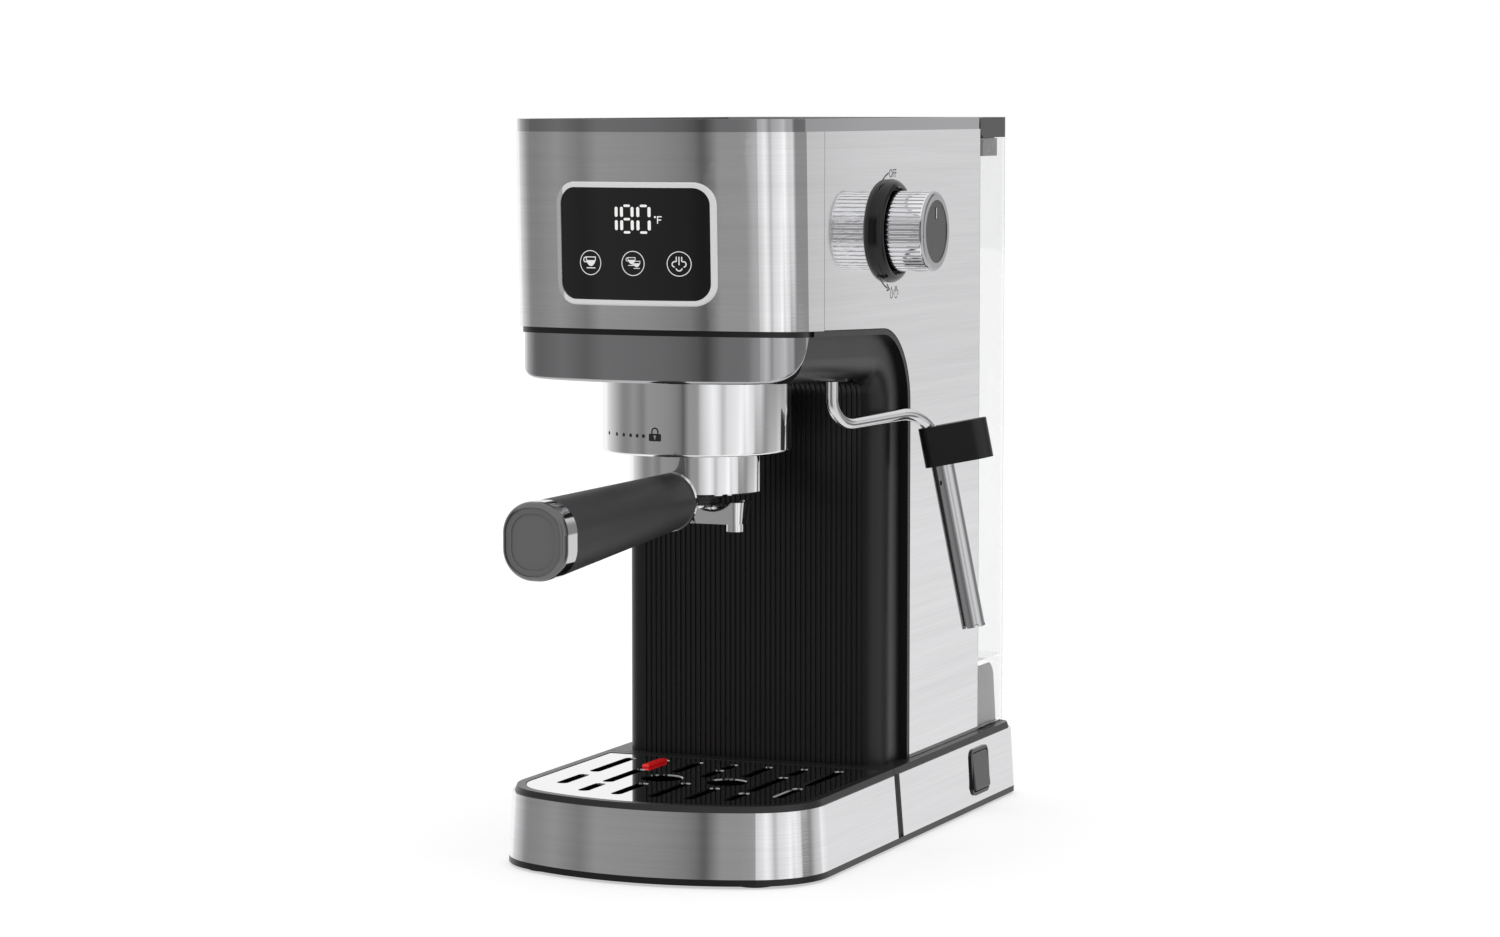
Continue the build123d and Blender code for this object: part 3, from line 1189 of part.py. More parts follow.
def steam_knob():
    """Chrome knob: a fluted shell with a rounded rim and a recess for its face."""
    length = KNOB_REACH - KNOB_START
    shell = extrude(knob_place(KNOB_START) * Circle(KNOB_RADIUS), length)
    flute = Circle(KNOB_FLUTE_RADIUS)
    cutters = []
    for index in range(KNOB_FLUTES):
        x, y = polar(KNOB_RADIUS + KNOB_FLUTE_RADIUS * 0.35, 360 * index / KNOB_FLUTES)
        cutters.append(extrude(knob_place(KNOB_START - 1) * Pos(x, y) * flute, length - 0.8))
    shell -= cutters
    rim = extrude(knob_place(KNOB_REACH - 1.8) * Circle(KNOB_RADIUS), 1.8)
    rim = fillet(rim.edges().group_by(Axis.X)[-1], 1.5)
    shell = shell - extrude(knob_place(KNOB_REACH - 1.8) * Circle(KNOB_RADIUS + 5), 5) + rim
    shell -= extrude(knob_place(KNOB_REACH - 0.9) * Circle(KNOB_FACE_RADIUS), 5)
    shell -= extrude(knob_place(KNOB_START - 1) * Circle(KNOB_RADIUS - 3.0), length - 3.5)
    hub = extrude(knob_place(KNOB_START + 1) * Circle(SPINDLE_RADIUS + 2.5), length - 3.5)
    return shell + hub - extrude(knob_place(-5) * Circle(SPINDLE_RADIUS + FIT), KNOB_REACH + 1)


def knob_face():
    """Black disc in the knob's end with a raised pointer."""
    plate = extrude(knob_place(KNOB_REACH - 0.9) * Circle(KNOB_FACE_RADIUS - 0.05), 0.6)
    pointer = extrude(knob_place(KNOB_REACH - 0.5) * Pos(0, 7.7) * SlotOverall(5.0, 1.1, rotation=90), 0.4)
    return plate + pointer


def valve_spindle():
    """Spindle from the knob to the steam valve."""
    inner = BODY_HALF - STEAM_VALVE_DEPTH + 8
    return plug_x(KNOB_Y, KNOB_Z, inner, BODY_HALF + KNOB_REACH - 4.6, SPINDLE_RADIUS)


def steam_valve():
    """Brass valve body on the knob's axis with an outlet towards the wand."""
    inner = BODY_HALF - STEAM_VALVE_DEPTH
    outer = INNER_HALF - 1.0
    body = plug_x(KNOB_Y, KNOB_Z, inner, outer, 8.0)
    body += block(inner, inner + 14, KNOB_Y - 9, KNOB_Y + 9, KNOB_Z - 9, KNOB_Z + 9)
    body += disc(inner + 7, KNOB_Y, KNOB_Z - 16, KNOB_Z - 8, 4.0)
    return body - plug_x(KNOB_Y, KNOB_Z, inner + 7.9, outer + 5, SPINDLE_RADIUS + FIT)


# ---------------------------------------------------------------- display
def head_layer(outset, inset):
    """A curved layer on the head's front between two offsets of its surface."""
    low = DISPLAY_Z - DISPLAY_HEIGHT
    high = DISPLAY_Z + DISPLAY_HEIGHT
    layer = head_block(-outset, low, high) - head_block(inset, low - 1, high + 1)
    return layer & block(-BODY_HALF, BODY_HALF, FRONT - 50, HEAD_FRONT + 30, low, high)


def display_bezel():
    """Bright frame on the bowed front, its outer edge stepped down to the steel."""
    low = head_layer(DISPLAY_PROUD - DISPLAY_EDGE, -0.01) & display_cutter(DISPLAY_BORDER, 60)
    high = head_layer(DISPLAY_PROUD, -0.01) & display_cutter(DISPLAY_BORDER - DISPLAY_EDGE, 60)
    return low + high - display_cutter(0, 60)


def display_glass():
    """Curved black glass that fills the frame."""
    return head_layer(DISPLAY_PROUD / 2, GLASS_THICKNESS) & display_cutter(-FIT, 60)


def circuit_boards():
    """Display board behind the glass and the control board at the left of the column."""
    return Compound(children=[display_board(), control_board()])


def display_board():
    """Touch and display board behind the glass."""
    y = head_front(DISPLAY_Z) + 14
    board = block(-DISPLAY_WIDTH / 2, DISPLAY_WIDTH / 2, y, y + 1.6, DISPLAY_Z - 20, DISPLAY_Z + 20)
    return board + block(-24, 24, y - 2.5, y + 0.1, DISPLAY_Z - 2, DISPLAY_Z + 18)


# ---------------------------------------------------------------- inner works
def boiler():
    """Cast heating block on the group's neck, with ribs."""
    block_half = 34.0
    body = block(-block_half, block_half, GROUP_Y - 32, GROUP_Y + 32, BOILER_Z, BOILER_Z + BOILER_HEIGHT)
    body = fillet(body.edges().filter_by(Axis.Z), 8)
    for index in range(7):
        x = -24 + index * 8
        low = BOILER_Z + BOILER_HEIGHT - 7
        body -= block(x - 1.5, x + 1.5, GROUP_Y - 40, GROUP_Y + 40, low, BOILER_Z + 40)
    inlet = Pos(0, GROUP_Y + 36, BOILER_Z + BOILER_HEIGHT / 2) * Rot(90, 0, 0) * Cylinder(HOSE_BORE - FIT, 12)
    return body + inlet


def boiler_fittings():
    """Two element terminals and two thermostats on the block."""
    pieces = []
    for side in (-1, 1):
        pieces.append(Pos(side * 20, GROUP_Y + 36, BOILER_Z + 12) * Rot(90, 0, 0) * Cylinder(3.5, 8))
        pieces.append(plug_x(GROUP_Y, BOILER_Z + 14, side * 34, side * 40, 8))
    return Compound(children=pieces)


def pump_body():
    """Vibration pump: an upright barrel with a hose stem at each end."""
    barrel = disc(0, PUMP_Y, PUMP_Z - 38, PUMP_Z + 38, PUMP_RADIUS)
    return barrel + disc(0, PUMP_Y, PUMP_Z - 50, PUMP_Z + 50, HOSE_BORE - FIT)


def pump_coil():
    """Moulded coil and its steel yoke round the pump's barrel."""
    coil = ring(0, PUMP_Y, PUMP_Z - 20, PUMP_Z + 20, 21, PUMP_RADIUS + FIT)
    yoke = block(-24, 24, PUMP_Y - 17, PUMP_Y + 17, PUMP_Z - 23, PUMP_Z + 23)
    yoke -= block(-22, 22, PUMP_Y - 30, PUMP_Y + 30, PUMP_Z - 20, PUMP_Z + 20)
    return coil + yoke - disc(0, PUMP_Y, PUMP_Z - 60, PUMP_Z + 60, PUMP_RADIUS + FIT)


def pump_mounts():
    """Two rubber rings that carry the pump."""
    low = ring(0, PUMP_Y, PUMP_Z - 29, PUMP_Z - 23, MOUNT_RADIUS, PUMP_RADIUS + FIT)
    high = ring(0, PUMP_Y, PUMP_Z + 23, PUMP_Z + 29, MOUNT_RADIUS, PUMP_RADIUS + FIT)
    return Compound(children=[low, high])


def hose(points, radii, outer, inner):
    """A hose of straight runs and tangent bends."""
    path = FilletPolyline(*points, radius=radii)
    start = Plane(origin=points[0], z_dir=Vector(*points[1]) - Vector(*points[0]))
    return sweep(start * Circle(outer), path=path) - sweep(start * Circle(inner), path=path)


def water_hoses():
    """Suction hose from the dock to the pump, and pressure hose from the pump to the heating block."""
    suction = [
        (0, PUMP_Y, PUMP_Z - 39),
        (0, PUMP_Y, HOSE_RUN_Z),
        (0, DOCK_Y, HOSE_RUN_Z),
        (0, DOCK_Y, DECK_Z + 7),
    ]
    z = BOILER_Z + BOILER_HEIGHT / 2
    pressure = [(0, PUMP_Y, PUMP_Z + 39), (0, PUMP_Y, z), (0, GROUP_Y + 32.5, z)]
    low = hose(suction, [9, 9], HOSE_RADIUS, HOSE_BORE)
    return Compound(children=[low, hose(pressure, [16], HOSE_RADIUS, HOSE_BORE)])


def steam_pipe():
    """Pipe from the steam valve down to the wand's bush."""
    x = BODY_HALF - STEAM_VALVE_DEPTH + 7
    turn_z = CEILING_Z + 27
    points = [
        (x, KNOB_Y, KNOB_Z - 16.5),
        (x, KNOB_Y, turn_z),
        (WAND_X, WAND_Y, turn_z),
        (WAND_X, WAND_Y, turn_z - 10),
    ]
    path = FilletPolyline(*points, radius=[6, 4])
    return sweep(Plane(origin=points[0], z_dir=(0, 0, -1)) * Circle(2.5), path=path)


def control_board():
    """Mains and control board at the left of the column."""
    x = -INNER_HALF + 8
    front = COLUMN_Y + 24
    rear = BODY_REAR - 14
    low = PUMP_Z + 18
    board = block(x, x + 1.6, front, rear, low, low + BOARD_HEIGHT)
    board += block(x + 1.5, x + 17, front + 10, front + 28, low + 10, low + 30)
    board += block(x + 1.5, x + 14, rear - 29, rear - 5, low + 40, low + 62)
    for y in (front + 6, rear - 6):
        board += plug_x(y, low + BOARD_HEIGHT - 10, -INNER_HALF + 0.2, x + 0.5, 3)
    return board


# ---------------------------------------------------------------- water tank and dock
def tank_dock():
    """Grey seat that the tank stands on, with its socket and the pin that lifts the plunger."""
    half = TANK_HALF - TANK_WALL - 1.2
    front = TANK_FRONT + 0.4
    rear = TANK_FRONT + DOCK_DEPTH
    top_rear = rear - DOCK_SLOPE
    side = polygon([(front, DECK_Z), (rear, DECK_Z), (top_rear, DOCK_TOP_Z), (front, DOCK_TOP_Z)])
    body = across(fillet(nearest_vertex(side, top_rear, DOCK_TOP_Z), DOCK_ROUND), -half, half)
    socket_z = DOCK_TOP_Z - DOCK_SOCKET_DEPTH
    body -= disc(0, DOCK_Y, socket_z, DOCK_TOP_Z + 1, DOCK_SOCKET_RADIUS)
    body -= disc(0, DOCK_Y, DECK_Z - 1, DOCK_TOP_Z, HOSE_RADIUS + 0.1)
    body += block(-DOCK_SOCKET_RADIUS, DOCK_SOCKET_RADIUS, DOCK_Y - 1, DOCK_Y + 1, socket_z - 2, socket_z)
    return body + disc(0, DOCK_Y, socket_z - 2, DOCK_TOP_Z - PLUNGER_REACH - FIT, 1.6)


def dock_seal():
    """Rubber lip seal in the dock's socket."""
    return ring(0, DOCK_Y, DOCK_TOP_Z - 5, DOCK_TOP_Z - 2, DOCK_SOCKET_RADIUS - FIT, VALVE_RADIUS + 0.1)


def tank_slab(inset, z0, z1):
    """A slab of the tank's outline."""
    half = TANK_HALF - inset
    slab = block(-half, half, TANK_FRONT + inset, TANK_REAR - inset, z0, z1)
    middle = 0.5 * (TANK_FRONT + TANK_REAR)
    corners = slab.edges().filter_by(Axis.Z).filter_by(lambda e: e.center().Y > middle)
    return fillet(corners, TANK_CORNER_RADIUS - inset)


def water_tank():
    """Clear tank: walls down to a skirt round the dock, a raised floor and the outlet."""
    floor_z = DOCK_TOP_Z + TANK_FLOOR_GAP
    tank = tank_slab(0, TANK_SKIRT_Z, TANK_TOP_Z)
    tank -= tank_slab(TANK_WALL, floor_z + TANK_WALL, TANK_TOP_Z + 1)
    tank -= tank_slab(TANK_WALL, TANK_SKIRT_Z - 1, floor_z)
    skirt_half = TANK_HALF - TANK_WALL
    tank -= block(-skirt_half, skirt_half, TANK_FRONT - 1, TANK_FRONT + 10, TANK_SKIRT_Z - 1, floor_z)
    tank += disc(0, DOCK_Y, DOCK_TOP_Z - 9, floor_z + 1, VALVE_RADIUS)
    tank -= disc(0, DOCK_Y, DOCK_TOP_Z - 20, DOCK_TOP_Z + 20, VALVE_BORE)
    for side in (-1, 1):
        tank += lid_ear(side)
    return tank


def lid_ear(side):
    """Ear on the tank's front wall that carries the lid's pin."""
    x = side * LID_EAR_X
    ear = block(x - EAR_WIDTH / 2, x + EAR_WIDTH / 2, LID_PIN_Y - 3, LID_PIN_Y + 3, TANK_TOP_Z - 6, LID_PIN_Z)
    ear += plug_x(LID_PIN_Y, LID_PIN_Z, x - EAR_WIDTH / 2, x + EAR_WIDTH / 2, 3.0)
    return ear - plug_x(LID_PIN_Y, LID_PIN_Z, x - 5, x + 5, LID_PIN_RADIUS + FIT)


def tank_lid():
    """Dark hinged lid: a rounded front edge with moulded pins, and a plug that enters the tank."""
    front = LID_PIN_Y - LID_ROUND
    half = TANK_HALF
    slab = block(-half, half, LID_PIN_Y, TANK_REAR + 0.4, LID_BOTTOM_Z, TOTAL_HEIGHT)
    corners = slab.edges().filter_by(Axis.Z).filter_by(lambda e: e.center().Y > LID_PIN_Y + 5)
    slab = fillet(corners, TANK_CORNER_RADIUS + 0.4)
    slab += plug_x(LID_PIN_Y, LID_PIN_Z, -half, half, LID_ROUND)
    lid = slab + lid_plug()
    for x in (-LID_EAR_X, LID_EAR_X):
        width = EAR_WIDTH / 2 + 0.4
        lid -= block(x - width, x + width, front - 2, LID_PIN_Y + 5, 0, LID_PIN_Z + 3.3)
        lid += plug_x(LID_PIN_Y, LID_PIN_Z, x - width - 0.5, x + width + 0.5, LID_PIN_RADIUS)
    return lid


def lid_plug():
    """Hollow plug under the lid, with rounded rear corners that clear the tank as it swings."""
    half = TANK_HALF - TANK_WALL - 0.8
    rear = TANK_REAR - TANK_WALL - 4
    plug = block(-half, half, LID_PIN_Y + 4, rear, LID_BOTTOM_Z - LID_PLUG_DEPTH, LID_BOTTOM_Z + 1)
    corners = plug.edges().filter_by(Axis.Z).filter_by(lambda e: e.center().Y > LID_PIN_Y + 5)
    plug = fillet(corners, TANK_CORNER_RADIUS)
    hollow = block(2 - half, half - 2, LID_PIN_Y + 6, rear - 2, 0, LID_BOTTOM_Z)
    inner = hollow.edges().filter_by(Axis.Z).filter_by(lambda e: e.center().Y > LID_PIN_Y + 7)
    return plug - fillet(inner, TANK_CORNER_RADIUS - 2)


def valve_plunger():
    """Plunger of the tank's outlet, held open by the dock's pin: a stem with a sealing head."""
    seat_z = DOCK_TOP_Z + TANK_FLOOR_GAP + TANK_WALL
    head_z = seat_z + PLUNGER_LIFT + 0.2
    stem = disc(0, DOCK_Y, DOCK_TOP_Z - PLUNGER_REACH, head_z + 0.1, 2.0)
    return stem + disc(0, DOCK_Y, head_z, head_z + PLUNGER_HEAD, 6.2)


def valve_spring():
    """Coil spring of square wire that closes the outlet when the tank is lifted."""
    reach = SPRING_WIRE / 2
    low = DOCK_TOP_Z + TANK_FLOOR_GAP + TANK_WALL + PLUNGER_LIFT + 0.2 + PLUNGER_HEAD + reach
    high = FILTER_TOP_Z - FILTER_WALL - reach
    coil = Helix(pitch=(high - low) / SPRING_TURNS, height=high - low, radius=SPRING_RADIUS)
    section = Plane(origin=coil @ 0, x_dir=(1, 0, 0), z_dir=coil % 0) * Rectangle(SPRING_WIRE, SPRING_WIRE)
    return Pos(0, DOCK_Y, low) * sweep(section, path=coil, is_frenet=True)


def tank_filter():
    """Mesh cap over the outlet inside the tank."""
    z0 = DOCK_TOP_Z + TANK_FLOOR_GAP + TANK_WALL
    cap = ring(0, DOCK_Y, z0, FILTER_TOP_Z, FILTER_RADIUS, FILTER_RADIUS - FILTER_WALL)
    cap += disc(0, DOCK_Y, FILTER_TOP_Z - FILTER_WALL, FILTER_TOP_Z, FILTER_RADIUS - 0.5)
    for index in range(8):
        x, y = polar(FILTER_RADIUS, 45 * index)
        cap -= Pos(x, DOCK_Y + y, z0 + 7) * Rot(0, 0, 45 * index) * Box(5, 2.6, 7)
    return cap


# ---------------------------------------------------------------- output
def nodes():
    """Every node by name."""
    return {
        "base_floor": base_floor(),
        "rubber_feet": feet(),
        "base_screws": base_screws(),
        "rear_base_housing": rear_housing(),
        "rear_base_band": rear_band(),
        "switch_frame": switch_frame(),
        "switch_rocker": switch_rocker(),
        "cord_inlet": cord_inlet(),
        "drip_tray": drip_tray(),
        "drip_tray_band": tray_band(),
        "drip_grid": drip_grid(),
        "tray_float": tray_float(),
        "front_skin": front_skin(),
        "side_panel_right": side_skin(1),
        "side_panel_left": side_skin(-1),
        "body_housing": body_housing(),
        "rear_panel": rear_panel(),
        "top_trim": top_trim(),
        "top_cover": top_cover(),
        "head_floor": head_floor(),
        "column_cover": column_cover(),
        "brew_pan": brew_pan(),
        "group_shroud": group_shroud(),
        "group_head": group_head(),
        "group_gasket": group_gasket(),
        "shower_screen": shower_screen(),
        "portafilter_body": portafilter_body(),
        "filter_basket": filter_basket(),
        "basket_spring": basket_spring(),
        "portafilter_spout": portafilter_spout(),
        "spout_nut": spout_nut(),
        "handle_grip": handle_grip(),
        "handle_cap": handle_cap(),
        "handle_end_plate": handle_end_plate(),
        "wand_tube": wand_tube(),
        "wand_grip": wand_grip(),
        "froth_sleeve": froth_sleeve(),
        "wand_socket": wand_socket(),
        "knob_bezel": knob_bezel(),
        "steam_knob": steam_knob(),
        "knob_face": knob_face(),
        "valve_spindle": valve_spindle(),
        "steam_valve": steam_valve(),
        "display_bezel": display_bezel(),
        "display_glass": display_glass(),
        "circuit_boards": circuit_boards(),
        "boiler": boiler(),
        "boiler_fittings": boiler_fittings(),
        "pump_body": pump_body(),
        "pump_coil": pump_coil(),
        "pump_mounts": pump_mounts(),
        "water_hoses": water_hoses(),
        "steam_pipe": steam_pipe(),
        "tank_dock": tank_dock(),
        "dock_seal": dock_seal(),
        "water_tank": water_tank(),
        "tank_lid": tank_lid(),
        "valve_plunger": valve_plunger(),
        "valve_spring": valve_spring(),
        "tank_filter": tank_filter(),
    }


if __name__ == "__main__":
    os.makedirs("parts", exist_ok=True)
    for name, shape in nodes().items():
        export_step(shape, f"parts/{name}.step")
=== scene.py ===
"""Looks of the slim espresso machine: finishes, printed marks, studio and camera round the CAD part."""

import logging
import math
from dataclasses import dataclass, field, replace
from enum import Enum

import bmesh
import bpy
from mathutils import Matrix, Vector
from mathutils.bvhtree import BVHTree


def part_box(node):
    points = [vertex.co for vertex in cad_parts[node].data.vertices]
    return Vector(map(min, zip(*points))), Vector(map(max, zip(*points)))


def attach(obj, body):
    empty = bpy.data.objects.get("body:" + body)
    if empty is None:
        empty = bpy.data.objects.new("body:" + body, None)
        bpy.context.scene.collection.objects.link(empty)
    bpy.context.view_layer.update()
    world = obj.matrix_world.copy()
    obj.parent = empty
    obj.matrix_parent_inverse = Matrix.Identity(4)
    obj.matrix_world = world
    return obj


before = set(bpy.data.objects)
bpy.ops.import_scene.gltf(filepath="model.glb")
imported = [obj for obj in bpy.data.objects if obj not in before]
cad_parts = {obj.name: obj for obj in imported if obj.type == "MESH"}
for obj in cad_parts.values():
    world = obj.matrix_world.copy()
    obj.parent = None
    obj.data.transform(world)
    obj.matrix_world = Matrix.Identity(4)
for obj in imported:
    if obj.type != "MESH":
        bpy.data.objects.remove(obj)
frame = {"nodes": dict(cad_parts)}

Socket = bpy.types.NodeSocket
LOG = logging.getLogger("espresso_machine")
MM = 0.001
WHITE = (1, 1, 1, 1)
COAT_ROUGHNESS = 0.05
BUMP_DISTANCE = 0.0001
INK_LIFT = 0.00002
RAY_REACH = 0.4
ROUND_REACH = 0.2
DISC_SEGMENTS = 20
BAR_SEGMENTS = 12
BOWL_SEGMENTS = 24
BOWL_TAPER = 0.25
CORNER_SEGMENTS = 4
ARC_PITCH = 9
ARC_STEPS = 6
CUP_LINE = 0.42
CUP_STROKES = ((-2.0, 2.3, 2.4, 2.3), (-2.0, 2.3, -1.9, 0.9), (2.4, 2.3, 2.3, 0.9), (-1.7, -2.1, 2.1, -2.1))
CUP_BOWL = (0.2, 1.0, 2.25, 2.4)
CUP_HANDLE = (-2.3, 1.2, 0.95, 60, 240)
STEAM_LINE = 0.45
STEAM_TOP = 2.7
STEAM_STROKES = ((-1.1, 1.1), (0.0, -0.3), (1.1, 1.1))
STEAM_CLOUD = ((-1.75, -0.15, 1.1, 62, 205), (1.75, -0.15, 1.1, -87, 205), (0.0, -1.55, 1.25, 190, 160))


class Surface(Enum):
    """The kinds of surface detail that a finish can have."""

    BRUSHED = "brushed"
    POLISHED = "polished"
    MOULDED = "moulded"
    SMOOTH = "smooth"
    CAST = "cast"


@dataclass(frozen=True)
class PaintedShadeSplit:
    """Painted shade of a finish: its brightness changed on one side of a level plane or an upright one.

    Args:
        axis: The axis that the plane is square to.
        place: Where the plane stands on it, in metres.
        share: Brightness on the plane's low side as a share of the colour.
    """

    axis: str
    place: float
    share: float


@dataclass(frozen=True)
class Finish:
    """One material of the machine.

    Args:
        name: Name of the Blender material.
        colour: Linear base colour.
        roughness: Middle roughness.
        metallic: 1 for bare metal and chrome.
        surface: The kind of fine detail.
        coat: Weight of a clear coat.
        specular: Strength of the plain reflection.
        depth: Strength of the bump.
        transmission: 1 for clear plastic.
        glow: Strength of its own light, in the base colour.
        index: Refractive index.
        split: The part's painted shade on one side of a plane, if it has one.
    """

    name: str
    colour: tuple[float, float, float]
    roughness: float
    metallic: float = 0.0
    surface: Surface = Surface.SMOOTH
    coat: float = 0.0
    specular: float = 0.5
    depth: float = 0.1
    transmission: float = 0.0
    glow: float = 0.0
    index: float = 1.45
    split: PaintedShadeSplit | None = None


STEEL = Finish("brushed_steel", (0.84, 0.84, 0.85), 0.05, 1.0, Surface.BRUSHED, depth=0.05)
SHELF_STEEL = Finish("shelf_steel", (0.72, 0.72, 0.73), 0.28, 1.0, Surface.BRUSHED, depth=0.12)
CHROME = Finish("polished_chrome", (0.86, 0.86, 0.87), 0.05, 1.0, Surface.POLISHED, depth=0.02)
SMOKED_CHROME = Finish("smoked_chrome", (0.44, 0.44, 0.45), 0.07, 1.0, Surface.POLISHED, depth=0.02)
CAP_CHROME = Finish("cap_chrome", (0.70, 0.70, 0.71), 0.06, 1.0, Surface.POLISHED, depth=0.02)
TUBE_STEEL = Finish("tube_steel", (0.66, 0.66, 0.67), 0.07, 1.0, Surface.POLISHED, depth=0.02)
# Darker chrome as painted shade on the knob's rim; its flutes are lifted by the knob's painted shade split.
KNOB_CHROME = Finish("knob_chrome", (0.44, 0.44, 0.45), 0.06, 1.0, Surface.POLISHED, depth=0.02)
MIRROR_STEEL = Finish("mirror_steel", (0.88, 0.88, 0.89), 0.04, 1.0, Surface.POLISHED, depth=0.01)
TURNED_STEEL = Finish("turned_steel", (0.60, 0.60, 0.61), 0.16, 1.0, Surface.POLISHED, depth=0.03)
ZINC_STEEL = Finish("zinc_steel", (0.58, 0.58, 0.60), 0.34, 1.0, Surface.BRUSHED, depth=0.08)
CAST_METAL = Finish("cast_aluminium", (0.55, 0.55, 0.56), 0.48, 1.0, Surface.CAST, depth=0.30)
BRASS = Finish("machined_brass", (0.70, 0.52, 0.25), 0.28, 1.0, Surface.BRUSHED, depth=0.06)
COLUMN_BLACK = Finish("column_black", (0.0065, 0.0065, 0.0068), 0.36, surface=Surface.MOULDED, depth=0.12)
RIM_BLACK = Finish("rim_black", (0.018, 0.018, 0.019), 0.34, surface=Surface.MOULDED, depth=0.10)
GRIP_BLACK = Finish("grip_black", (0.028, 0.028, 0.029), 0.48, surface=Surface.MOULDED, depth=0.16)
WAND_BLACK = Finish("wand_tab_black", (0.008, 0.008, 0.008), 0.40, surface=Surface.MOULDED, depth=0.10)
GLOSS_BLACK = Finish("gloss_black", (0.006, 0.006, 0.007), 0.09, coat=0.1, specular=0.35)
KNOB_GREY = Finish("knob_face_grey", (0.055, 0.055, 0.057), 0.26)
# Painted reflection: a near-white, barely metallic colour stands in for the bright reflections of the silver
# bezel.
SILVER_BEZEL_PAINTED_SHEEN = Finish("silver_bezel_painted_sheen", (0.97, 0.97, 0.98), 0.14, 0.10, Surface.POLISHED, depth=0.01)
WHITE_INK = Finish("white_ink", (0.86, 0.86, 0.86), 0.40)
SCREEN = Finish("screen_glass", (0.010, 0.010, 0.011), 0.06, coat=0.5, specular=0.35)
LID_GREY = Finish("lid_grey", (0.066, 0.066, 0.068), 0.40, surface=Surface.MOULDED, depth=0.10)
PLATE_GREY = Finish("plate_grey", (0.15, 0.15, 0.153), 0.30, surface=Surface.MOULDED, depth=0.08)
SWITCH_GREY = Finish("switch_grey", (0.085, 0.085, 0.088), 0.34, surface=Surface.MOULDED, depth=0.08)
DOCK_GREY = Finish("dock_grey", (0.23, 0.23, 0.235), 0.42, surface=Surface.MOULDED, depth=0.10)
INNER_GREY = Finish("inner_grey", (0.30, 0.30, 0.31), 0.45, surface=Surface.MOULDED, depth=0.10)
RUBBER = Finish("black_rubber", (0.016, 0.016, 0.016), 0.68, surface=Surface.MOULDED, depth=0.20)
SILICONE = Finish("milky_silicone", (0.62, 0.60, 0.57), 0.55, surface=Surface.MOULDED, depth=0.10)
FLOAT_RED = Finish("float_red", (0.95, 0.010, 0.012), 0.30, coat=0.1)
CLEAR = Finish("clear_plastic", (0.922, 0.924, 0.927), 0.02, transmission=1.0, index=1.22)
BOARD_GREEN = Finish("board_green", (0.02, 0.11, 0.05), 0.40, surface=Surface.MOULDED, depth=0.10)
INK = Finish("print_ink", (0.020, 0.020, 0.021), 0.50)
GREY_INK = Finish("grey_ink", (0.10, 0.10, 0.105), 0.50)
LIT_MARK = Finish("lit_mark", (0.76, 0.76, 0.75), 0.40, glow=0.46)
DIM_MARK = Finish("dim_mark", (0.70, 0.70, 0.70), 0.40, glow=0.40)

NODE_FINISHES: dict[Finish, tuple[str, ...]] = {
    STEEL: ("front_skin", "side_panel_right", "side_panel_left", "rear_base_band", "drip_tray_band"),
    SHELF_STEEL: ("top_cover",),
    CHROME: (
        "group_shroud",
        "portafilter_body",
        "portafilter_spout",
        "shower_screen",
    ),
    CAP_CHROME: ("handle_cap",),
    KNOB_CHROME: ("steam_knob",),
    TUBE_STEEL: ("wand_tube",),
    SMOKED_CHROME: ("brew_pan", "top_trim"),
    MIRROR_STEEL: ("drip_grid", "filter_basket"),
    TURNED_STEEL: ("froth_sleeve", "valve_spindle", "basket_spring", "valve_spring"),
    ZINC_STEEL: ("base_screws", "boiler_fittings", "steam_pipe"),
    CAST_METAL: ("boiler", "group_head"),
    BRASS: ("steam_valve",),
    COLUMN_BLACK: ("column_cover", "body_housing", "head_floor", "base_floor", "rear_panel"),
    RIM_BLACK: ("drip_tray", "rear_base_housing", "spout_nut"),
    GRIP_BLACK: ("handle_grip",),
    WAND_BLACK: ("wand_grip", "wand_socket"),
    GLOSS_BLACK: ("knob_bezel", "switch_frame"),
    KNOB_GREY: ("knob_face",),
    SILVER_BEZEL_PAINTED_SHEEN: ("display_bezel",),
    SCREEN: ("display_glass",),
    LID_GREY: ("tank_lid",),
    PLATE_GREY: ("handle_end_plate",),
    SWITCH_GREY: ("switch_rocker",),
    DOCK_GREY: ("tank_dock",),
    INNER_GREY: ("pump_body", "pump_coil", "valve_plunger", "tank_filter"),
    RUBBER: ("rubber_feet", "cord_inlet", "group_gasket", "pump_mounts", "dock_seal"),
    SILICONE: ("water_hoses",),
    FLOAT_RED: ("tray_float",),
    CLEAR: ("water_tank",),
    BOARD_GREEN: ("circuit_boards",),
}


@dataclass(frozen=True)
class Grain:
    """The fine detail of one kind of surface.

    Args:
        name: Name of its node group.
        fine: Waves per metre along X, Y and Z of the fine noise.
        fine_detail: Octaves of the fine noise.
        broad: Waves per metre of the broad noise.
        spread: How far the roughness moves.
        tone: How far the colour's brightness moves.
        broad_detail: Octaves of the broad noise.
    """

    name: str
    fine: tuple[float, float, float]
    fine_detail: float
    broad: tuple[float, float, float]
    spread: float
    tone: float
    broad_detail: float = 2.0


GRAINS = {
    Surface.BRUSHED: Grain("brushed_hairlines", (22.0, 22.0, 2600.0), 3.0, (5.0, 5.0, 260.0), 0.55, 0.16),
    Surface.POLISHED: Grain("polish_marks", (900.0,) * 3, 2.0, (35.0,) * 3, 0.5, 0.03),
    Surface.MOULDED: Grain("moulded_texture", (2400.0,) * 3, 2.0, (28.0,) * 3, 0.28, 0.16),
    Surface.SMOOTH: Grain("gloss_unevenness", (120.0,) * 3, 1.0, (18.0,) * 3, 0.3, 0.04, 1.0),
    Surface.CAST: Grain("cast_skin", (1300.0,) * 3, 4.0, (60.0,) * 3, 0.4, 0.2),
}


